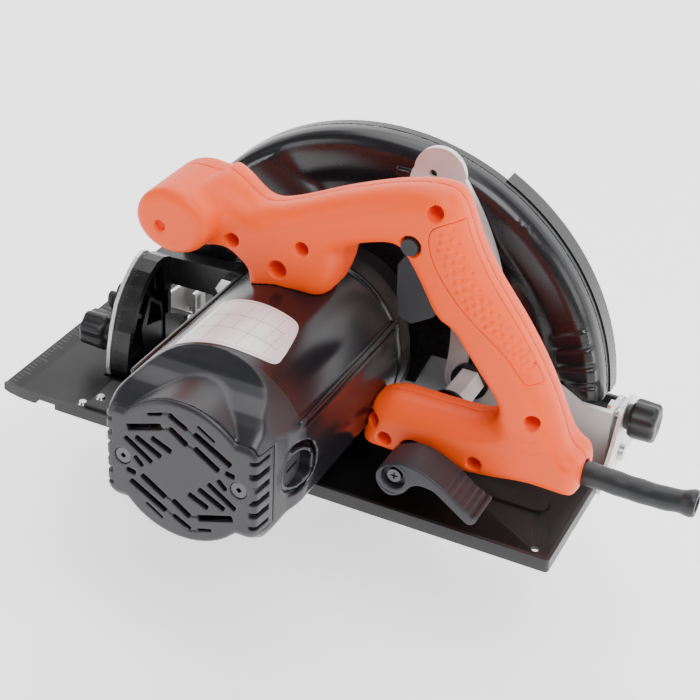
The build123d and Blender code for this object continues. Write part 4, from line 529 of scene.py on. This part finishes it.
def cap_f(x, y, z):
    b = body_sect(x, y, z)
    dx, dz = x - MX, z - MZ
    f = slab(b, y, 120.0, 155.5, 2.2)
    face = np.full(np.broadcast(dx, dz).shape, 99.0, F32)
    line = face.copy()
    for s in (1, -1):
        for x1, z1, x2, z2, w in CAP_SLOTS:
            L = math.hypot(x2 - x1, z2 - z1)
            u, v = rot2(s * dx, s * dz, (x1 + x2) / 2, (z1 + z2) / 2, math.degrees(math.atan2(z2 - z1, x2 - x1)))
            face = np.minimum(face, rbox(u, v, 0, 0, L / 2 + w * 0.35, w / 2, min(0.5, w * 0.3)))
        for P in CAP_LINES:
            line = np.minimum(line, line_d(P, s * dx, s * dz))
    cav = np.maximum(b + 3.0, y - 152.5)
    f = np.maximum(f, -cav)
    # pot of the shaft bearing and screw posts
    pot = np.maximum(ln(dx, dz) - 12.4, 142.8 - y)
    f = np.minimum(f, np.maximum(pot, y - 154.5))
    scr = np.minimum(ln(dx + 29, dz - 1), ln(dx - 29, dz + 1))
    f = np.minimum(f, np.maximum(scr - 5.5, y - 154.5))
    f = np.maximum(f, -np.maximum(ln(dx, dz) - 9.6, y - 152.4))
    f = np.maximum(f, -np.maximum(face, 150.7 - y))
    f = np.maximum(f, -np.maximum(line - 0.45, 154.8 - y))
    f = smax(f, -np.maximum(scr - 4.1, 152.5 - y), 0.5)
    # slots that wrap round each side
    side = np.full(np.broadcast(dx, dz).shape, 99.0, F32)
    for i in range(6):
        w = 0.9 if i in (0, 5) else 1.45
        side = np.minimum(side, np.abs(z - (MZ - 17 + 6.8 * i)) - w)
    side = np.maximum(side, np.maximum(31.5 - np.abs(dx), 7.6 - scr))
    side = np.maximum(np.maximum(side, 145.2 - y), -(b + 3.4))
    f = np.maximum(f, -side)
    return np.maximum(np.maximum(f, 142.15 - y), 0.12 - roof_part(y, z))


solid("cap_shell", cap_f, (-43.5, 142, 17), (37.5, 155.5, 92), 0.48, "saw_body", CAPGREY, sharp=30)
stand(bpy.data.objects["cap_shell"], "end_cap")

# ------------------------------------------------------------ rating label
LAB = smooth([(60.5, 77.3), (74, 77.3), (88, 78.5), (104, 79.8), (112, 80.5), (115.5, 84), (118, 92), (121.3, 108), (120.5, 112.7), (115.3, 115.2),
              (101, 118.7), (64, 120.9), (60.5, 120.9)], 2, keep=(0, 12))


def label_span(t):
    """Lowest and highest y of the label at angle t."""
    ys = []
    m = len(LAB)
    for i in range(m):
        (a0, y0), (a1, y1) = LAB[i], LAB[(i + 1) % m]
        if (a0 <= t < a1) or (a1 <= t < a0):
            ys.append(y0 + (y1 - y0) * (t - a0) / (a1 - a0))
    return min(ys), max(ys)


def label_mesh(name, strips, r0, r1, mat):
    """Thin curved patches on the barrel; each strip is a list of (angle, y0, y1)."""
    bm = bmesh.new()
    for st in strips:
        rows = []
        for (t, y0, y1) in st:
            c, s_ = math.cos(math.radians(t)), math.sin(math.radians(t))
            rows.append([bm.verts.new(((MX + r * c) * MM, y * MM, (MZ + r * s_) * MM)) for r, y in ((r0, y0), (r1, y0), (r1, y1), (r0, y1))])
        for a, b in zip(rows[:-1], rows[1:]):
            for k in range(4):
                bm.faces.new((a[k], a[(k + 1) % 4], b[(k + 1) % 4], b[k]))
        bm.faces.new(rows[0][::-1]); bm.faces.new(rows[-1])
    bmesh.ops.recalc_face_normals(bm, faces=bm.faces)
    me = bpy.data.meshes.new(name); bm.to_mesh(me); bm.free()
    me.materials.append(mat)
    ob = bpy.data.objects.new(name, me)
    bpy.context.scene.collection.objects.link(ob)
    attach(ob, "saw_body")
    return ob


T_END = max(a for a, _ in LAB) - 0.02
ts = [60.55 + (T_END - 60.55) * i / 90 for i in range(91)]
stand(label_mesh("rating_label", [[(t, *label_span(t)) for t in ts]], 45.9, 46.32, SILVER), "rating_plate")
rules = []
for t, a, b in [(66, 80, 118), (76, 93, 117), (86, 82, 105), (96, 82, 116), (106, 84, 104), (111, 93, 113)]:
    rules.append([(t, a, b), (t + 0.25, a, b)])
for y, t0, t1 in ((92.5, 66, 112), (104.5, 66, 116)):
    rules.append([(t0 + (t1 - t0) * i / 30, y, y + 0.28) for i in range(31)])
# thin border just inside the edge
border = [(t, *label_span(t)) for t in [62.5 + 56.5 * i / 60 for i in range(61)]]
rules.append([(t, a + 1.5, a + 1.75) for t, a, b in border if b - a > 5])
rules.append([(t, b - 1.75, b - 1.5) for t, a, b in border if b - a > 5])
label_mesh("label_rules", rules, 46.30, 46.38, INK)

# ------------------------------------------------------------- upper guard
GX, GZ = -16.0, 25.0
KEEP = [(-145, 34), (-48, 34), (-40, 14), (14, 14), (40, 28), (80, 30), (104, 70), (135, 70), (135, 165), (-145, 165)]
BEAD = smooth([(123.5, -30.85), (123.5, -24), (121.0, -19.3), (117, -17.2), (111, -16.95), (105, -17.3), (101, -19.0), (98, -20.4), (94, -20.6),
               (-5, -20.6), (-5, -22.0), (98, -22.1), (101, -21.2), (106, -19.9), (115, -19.8), (119.0, -22.0), (120.8, -25.5), (120.8, -30.85)],
              1, keep=(0, 9, 10, 17))


def guard_f(x, y, z):
    ro = ln(x - GX, z - GZ) + 0 * y
    f = poly(BEAD, ro, y + 0 * ro)
    # dome over the gear end, at the front of the guard
    u, v = rot2(x, z, 40, 98, 42)
    k = np.sqrt((u / 52.0) ** 2 + (v / 25.0) ** 2 + ((y + 22) / 12.5) ** 2)
    dome = (k - 1) * 14.0
    dome = np.maximum(dome, ro - 117.5)
    f = smin(f, np.maximum(dome, -21.9 - y), 3.0)
    # ridges in the recessed web behind the handle
    for P in ([(-91, 120), (-97, 104), (-99.5, 92)], [(-86, 122), (-93, 104), (-95.5, 93)]):
        f = smin(f, np.maximum(line_d(P, x, z) - 1.0, np.abs(y + 20.5) - 1.9), 0.8)
    f = smin(f, np.maximum(rbox(x, z, -105, 88, 6, 1.2, 0.5), np.abs(y + 20.5) - 1.9), 0.8)
    # square stop beside the slotted arc
    f = smin(f, np.maximum(rbox(x, z, -27.5, 134, 3.6, 2.4, 0.6), np.abs(y + 17.5) - 3.2), 0.5)
    # stepped grip at the rear of the bead
    ang = np.degrees(np.arctan2(z - GZ, -(x - GX))) + 0 * y
    for a in (7, 12, 17, 22):
        st = np.maximum(np.maximum(np.abs(ang - a) * 1.95 - 3.3, np.abs(ro - 110.5) - 11.2), poly([(99, -22), (123.4, -22), (122.6, -18.9), (118, -16.75), (103, -16.75)], ro, y + 0 * ro))
        f = smin(f, st, 0.7)
    # boss of the depth pivot, opening for the gear nose
    f = smin(f, np.maximum(ln(x - 60, z - 50) - 10, np.abs(y + 19.5) - 2.4), 1.0)
    f = np.maximum(f, 4.1 - ln(x - 60, z - 50))
    f = np.maximum(f, 16.3 - ln(x - AX, z - AZ))
    return np.maximum(f, poly(KEEP, x, z))


solid("guard_near_shell", guard_f, (-140, -31, 14), (108, -8.5, 149), 0.85, "saw_body", GUARD, sharp=38)
stand(bpy.data.objects["guard_near_shell"], "upper_guard_near_half")

# -------------------------------------------------------------- depth lever
LEVER_P = [(-68.3, 36.7), (-73.2, 39.2), (-79.6, 40.7), (-85.4, 39.6), (-89.8, 37.9), (-95.0, 35.4), (-100.2, 32.5),
           (-105.5, 28.0), (-110.7, 25.0), (-115.8, 23.3), (-115.9, 22.1), (-114.8, 19.6), (-112.1, 17.8), (-109.1, 19.5),
           (-103.1, 23.8), (-98.5, 27.0), (-94.0, 30.2), (-89.6, 31.0), (-86.1, 30.9), (-82.6, 29.3), (-80.6, 26.5),
           (-78.7, 23.7), (-74.5, 21.0), (-70.9, 20.5), (-67.1, 22.8), (-64.6, 26.8), (-64.3, 30.8), (-65.6, 34.1)]
LP = smooth(LEVER_P, 2)


def lever_f(x, y, z):
    f = slab(poly(LP, x, z), y, 62.0, 82.5, 1.0)
    f = smax(f, -np.maximum(ln(x - SX, z - SZ) - 6.0, 78.4 - y), 0.5)
    f = smax(f, -(np.sqrt((ln(x - SX, z - SZ) - 8.3) ** 2 + (y - 82.6) ** 2) - 0.5), 0.3)
    f = np.maximum(f, -np.maximum(ln(x - SX, z - SZ) - 4.06, y - 76.5))
    f = np.maximum(f, 1.75 - ln(x - SX, z - SZ))
    for i in range(6):
        t = i / 5
        f = smax(f, -(ln(x + 97.5 + 15.5 * t, z - 35.3 + 11.0 * t) - 1.25), 0.4)
    return f


solid("lever_moulding", lever_f, (-116, 62, 17.5), (-64, 82.5, 41), 0.45, "depth_lever_group", LEVER, sharp=34)
stand(bpy.data.objects["lever_moulding"], "depth_lever")


# --------------------------------------------------------------- the knobs
def knob(name, node, body, x0, x1, cy, cz):
    s = 1 if x1 > x0 else -1
    L = min(17.0, abs(x1 - x0))

    def f(x, y, z):
        dy, dz = y - cy, z - cz
        r = ln(dy, dz)
        a = np.arctan2(dz, dy)
        w = 2 * math.pi / 7
        a0 = (a + w / 2) % w - w / 2
        fx, fy = r * np.cos(a0), r * np.sin(a0)
        t = (x - x0) * s
        base = smax(r - 10.5 + 0.035 * (t - 2.5), -(ln(fx - 12.4, fy) - 3.3), 1.6)
        g = slab(base, t, 2.6, L, 2.4)
        g = smin(g, slab(r - 6.6, t, 0.15, 6.0, 0.4), 0.6)
        # shallow dish in the end
        g = smax(g, -(np.sqrt(r * r + (t - L - 9.5) ** 2) - 10.2), 0.8)
        g = np.maximum(g, -np.maximum(r - 3.06, t - 14.0))
        return g
    lo, hi = (min(x0, x1), cy - 11, cz - 11), (max(x0, x1), cy + 11, cz + 11)
    ob = solid(name, f, lo, hi, 0.42, body, KNOBM, sharp=40)
    stand(ob, node)


def mid(node):
    a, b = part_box(node)
    return [(a[i] + b[i]) / 2 / MM for i in range(3)]


_, fy, fz = mid("front_bevel_knob")
_, ry, rz = mid("rear_bevel_knob")
knob("front_knob_moulding", "front_bevel_knob", "front_knob", 111.4, 128.6, fy, fz)
knob("rear_knob_moulding", "rear_bevel_knob", "rear_knob", -152.4, -168.6, ry, rz)

# ----------------------------------------------------------- the cord boot
BOOT = [(-139.5, 39.3), (-148.4, 39.2), (-160.6, 39.1), (-173.4, 38.5), (-185.4, 38.4), (-192.8, 38.8), (-199.9, 39.9), (-204.6, 40.6)]


def boot_f(x, y, z):
    d = np.sqrt(line_d(BOOT, x, z) ** 2 + (y - 45) ** 2)
    r = np.interp(x, [-206, -203.4, -201.5, -199, -190, -170, -139], [6.4, 6.5, 6.1, 5.5, 5.55, 5.7, 5.9]).astype(F32)
    r = r + 0.10 * np.sin(x * 0.55) * (x < -150)
    f = smax(d - r, -206 - x, 1.0)
    f = np.maximum(f, x + 139.3)
    return smax(f, 3.9 - d, 0.6)


solid("boot_moulding", boot_f, (-206, 38, 31), (-139, 52, 48), 0.5, "saw_body", RUBBER, sharp=45)
stand(bpy.data.objects["boot_moulding"], "cord_boot")


# ------------------------------------------------------------ wing screw
WX, WY, _w = mid("fence_wing_screw")
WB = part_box("fence_wing_screw")


def wing_f(x, y, z):
    dx, dy = x - 125.0, y - 4.0
    f = np.maximum(ln(dx, dy) - 3.0, np.abs(z - 13) - 9.6)
    f = smin(f, slab(ln(dx, dy) - 4.9, z, 22.6, 28.4, 0.7), 0.5)
    for s in (-1, 1):
        u, v = rot2(dy - s * 4.0, z - 30.2, 0, 0, s * -14)
        k = ln(u / 3.7, v / 5.6) + 1e-6
        e = (k - 1) * k / (ln(u / 3.7 ** 2, v / 5.6 ** 2) + 1e-6)
        e = np.where(k < 0.2, -3.0, e)
        f = smin(f, slab(e, dx, -2.0, 2.0, 1.0), 0.6)
    return f


solid("wing_screw_moulding", wing_f, (119.5, -4.2, 3.4), (130.5, 12.2, 36.2), 0.4, "fence_screw", LEVER, sharp=40)
stand(bpy.data.objects["wing_screw_moulding"], "fence_wing_screw")


# ---------------------------------------------------------- painted scales
def boxes(name, items, body, mat):
    """Small slabs given as (centre, half sizes, rotation matrix)."""
    bm = bmesh.new()
    for c, hsz, R in items:
        vs = []
        for i in (-1, 1):
            for j in (-1, 1):
                for k in (-1, 1):
                    p = R @ Vector((i * hsz[0], j * hsz[1], k * hsz[2])) + Vector(c)
                    vs.append(bm.verts.new(p * MM))
        for q in ((0, 1, 3, 2), (4, 6, 7, 5), (0, 4, 5, 1), (2, 3, 7, 6), (0, 2, 6, 4), (1, 5, 7, 3)):
            bm.faces.new([vs[i] for i in q])
    bmesh.ops.recalc_face_normals(bm, faces=bm.faces)
    me = bpy.data.meshes.new(name); bm.to_mesh(me); bm.free()
    me.materials.append(mat)
    ob = bpy.data.objects.new(name, me)
    bpy.context.scene.collection.objects.link(ob)
    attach(ob, body)
    return ob


slope = math.atan2(1.6, 9.0)
RL = Matrix.Rotation(-slope, 3, "Y")
ticks = []
for i in range(-24, 25):
    y = i * 3.0
    L = 2.6 if i % 5 == 0 else 1.5
    xx = 149.0 - L
    zz = 4.6 + (xx - 141.0) * 1.6 / 9.0
    ticks.append(((xx, y, zz + 0.02), (L, 0.16, 0.06), RL))
boxes("lip_scale", ticks, "base", WHITE)

TYc, TZc = -24.0, 8.0
CO = [(38.8, 9), (37.3, 20), (34.5, 30.5), (29.2, 43), (22.0, 51.4), (14.5, 57.2), (7.0, 60.4)]
ticks = []
for i in range(1, 47):
    a = math.radians(3 + 1.15 * i)
    d = (math.cos(a), math.sin(a))
    for (p, q) in zip(CO[:-1], CO[1:]):
        ex, ez = q[0] - p[0], q[1] - p[1]
        den = d[0] * ez - d[1] * ex
        if abs(den) < 1e-9:
            continue
        wx, wz = p[0] - TYc, p[1] - TZc
        t = (wx * ez - wz * ex) / den
        u = (wx * d[1] - wz * d[0]) / den
        if t > 0 and 0 <= u < 1:
            py, pz = TYc + d[0] * t, TZc + d[1] * t
            L = 1.9 if i % 5 == 0 else 1.1
            rot = Matrix.Rotation(math.atan2(ez, ex), 3, "X")
            ticks.append(((108.0 - L, py, pz), (L, 0.16, 0.07), rot))
            break
boxes("tilt_scale", ticks, "tilt_frame", FAINT)


# -------------------------------------------------------------- the stage
lowest = min(min(v.co.z for v in o.data.vertices) for o in N.values())
bm = bmesh.new()
nseg = 16
# floor that curves up into a backdrop behind the object, as seen from the camera
back_y = -1.1
pts = [(7.0, 0.0), (back_y, 0.0)]
R = 0.9
for i in range(1, nseg + 1):
    t = math.pi / 2 * i / nseg
    pts.append((back_y - R * math.sin(t), R - R * math.cos(t)))
pts.append((back_y - R, 3.2))
rows = []
for (yy, zz) in pts:
    rows.append([bm.verts.new((xx, yy, lowest + zz)) for xx in (-6.0, 6.0)])
for a, b in zip(rows[:-1], rows[1:]):
    bm.faces.new((a[0], b[0], b[1], a[1]))
me = bpy.data.meshes.new("floor"); bm.to_mesh(me); bm.free()
me.shade_smooth()
floor = bpy.data.objects.new("floor", me)
bpy.context.scene.collection.objects.link(floor)
fm = material("floor_pale", (0.86, 0.86, 0.86), rough=0.7, spec=0.2, vary=0.01, scale=3, rough_var=0.05, bump=0.02, bump_scale=60)
fb = [n for n in fm.node_tree.nodes if n.type == "BSDF_PRINCIPLED"][0]
fb.inputs["Emission Color"].default_value = (1, 1, 1, 1)
fb.inputs["Emission Strength"].default_value = 1.3
me.materials.append(fm)


def area(name, loc, target, size, power, color=(1, 1, 1), size_y=None):
    l = bpy.data.lights.new(name, "AREA")
    l.energy = power; l.size = size; l.color = color
    if size_y:
        l.shape = "RECTANGLE"; l.size_y = size_y
    o = bpy.data.objects.new(name, l)
    o.location = loc
    d = Vector(target) - Vector(loc)
    o.rotation_euler = d.to_track_quat("-Z", "Y").to_euler()
    bpy.context.scene.collection.objects.link(o)
    return o


area("key", (-0.9, 0.9, 1.9), (0, 0, 0.05), 1.2, 40)
area("top", (0.3, -0.5, 1.9), (0, 0, 0.05), 1.5, 26)
area("fill", (1.7, 1.3, 0.8), (0, 0, 0.05), 1.1, 12)
area("side", (-1.9, 0.1, 0.7), (0, 0, 0.05), 0.9, 12)
w = bpy.data.worlds.new("world")
w.use_nodes = True
w.node_tree.nodes["Background"].inputs[0].default_value = (1, 1, 1, 1)
w.node_tree.nodes["Background"].inputs[1].default_value = 0.16
bpy.context.scene.world = w

# -------------------------------------------------------------- the camera
hd, pt, rl = [math.radians(v) for v in (23.9, 31.7, 3.4)]
fh = Vector((math.sin(hd), -math.cos(hd), 0))
fwd = math.cos(pt) * fh + Vector((0, 0, -math.sin(pt)))
right = fwd.cross(Vector((0, 0, 1))).normalized()
up = right.cross(fwd)
Rv = math.cos(rl) * right + math.sin(rl) * up
Uv = -math.sin(rl) * right + math.cos(rl) * up
cam = bpy.data.cameras.new("camera")
cam.sensor_width = 36
cam.lens = 1677.3 / 700 * 36
co = bpy.data.objects.new("camera", cam)
co.matrix_world = Matrix(((Rv.x, Uv.x, -fwd.x, -0.3065), (Rv.y, Uv.y, -fwd.y, 0.6658), (Rv.z, Uv.z, -fwd.z, 0.4867), (0, 0, 0, 1)))
bpy.context.scene.collection.objects.link(co)
bpy.context.scene.camera = co
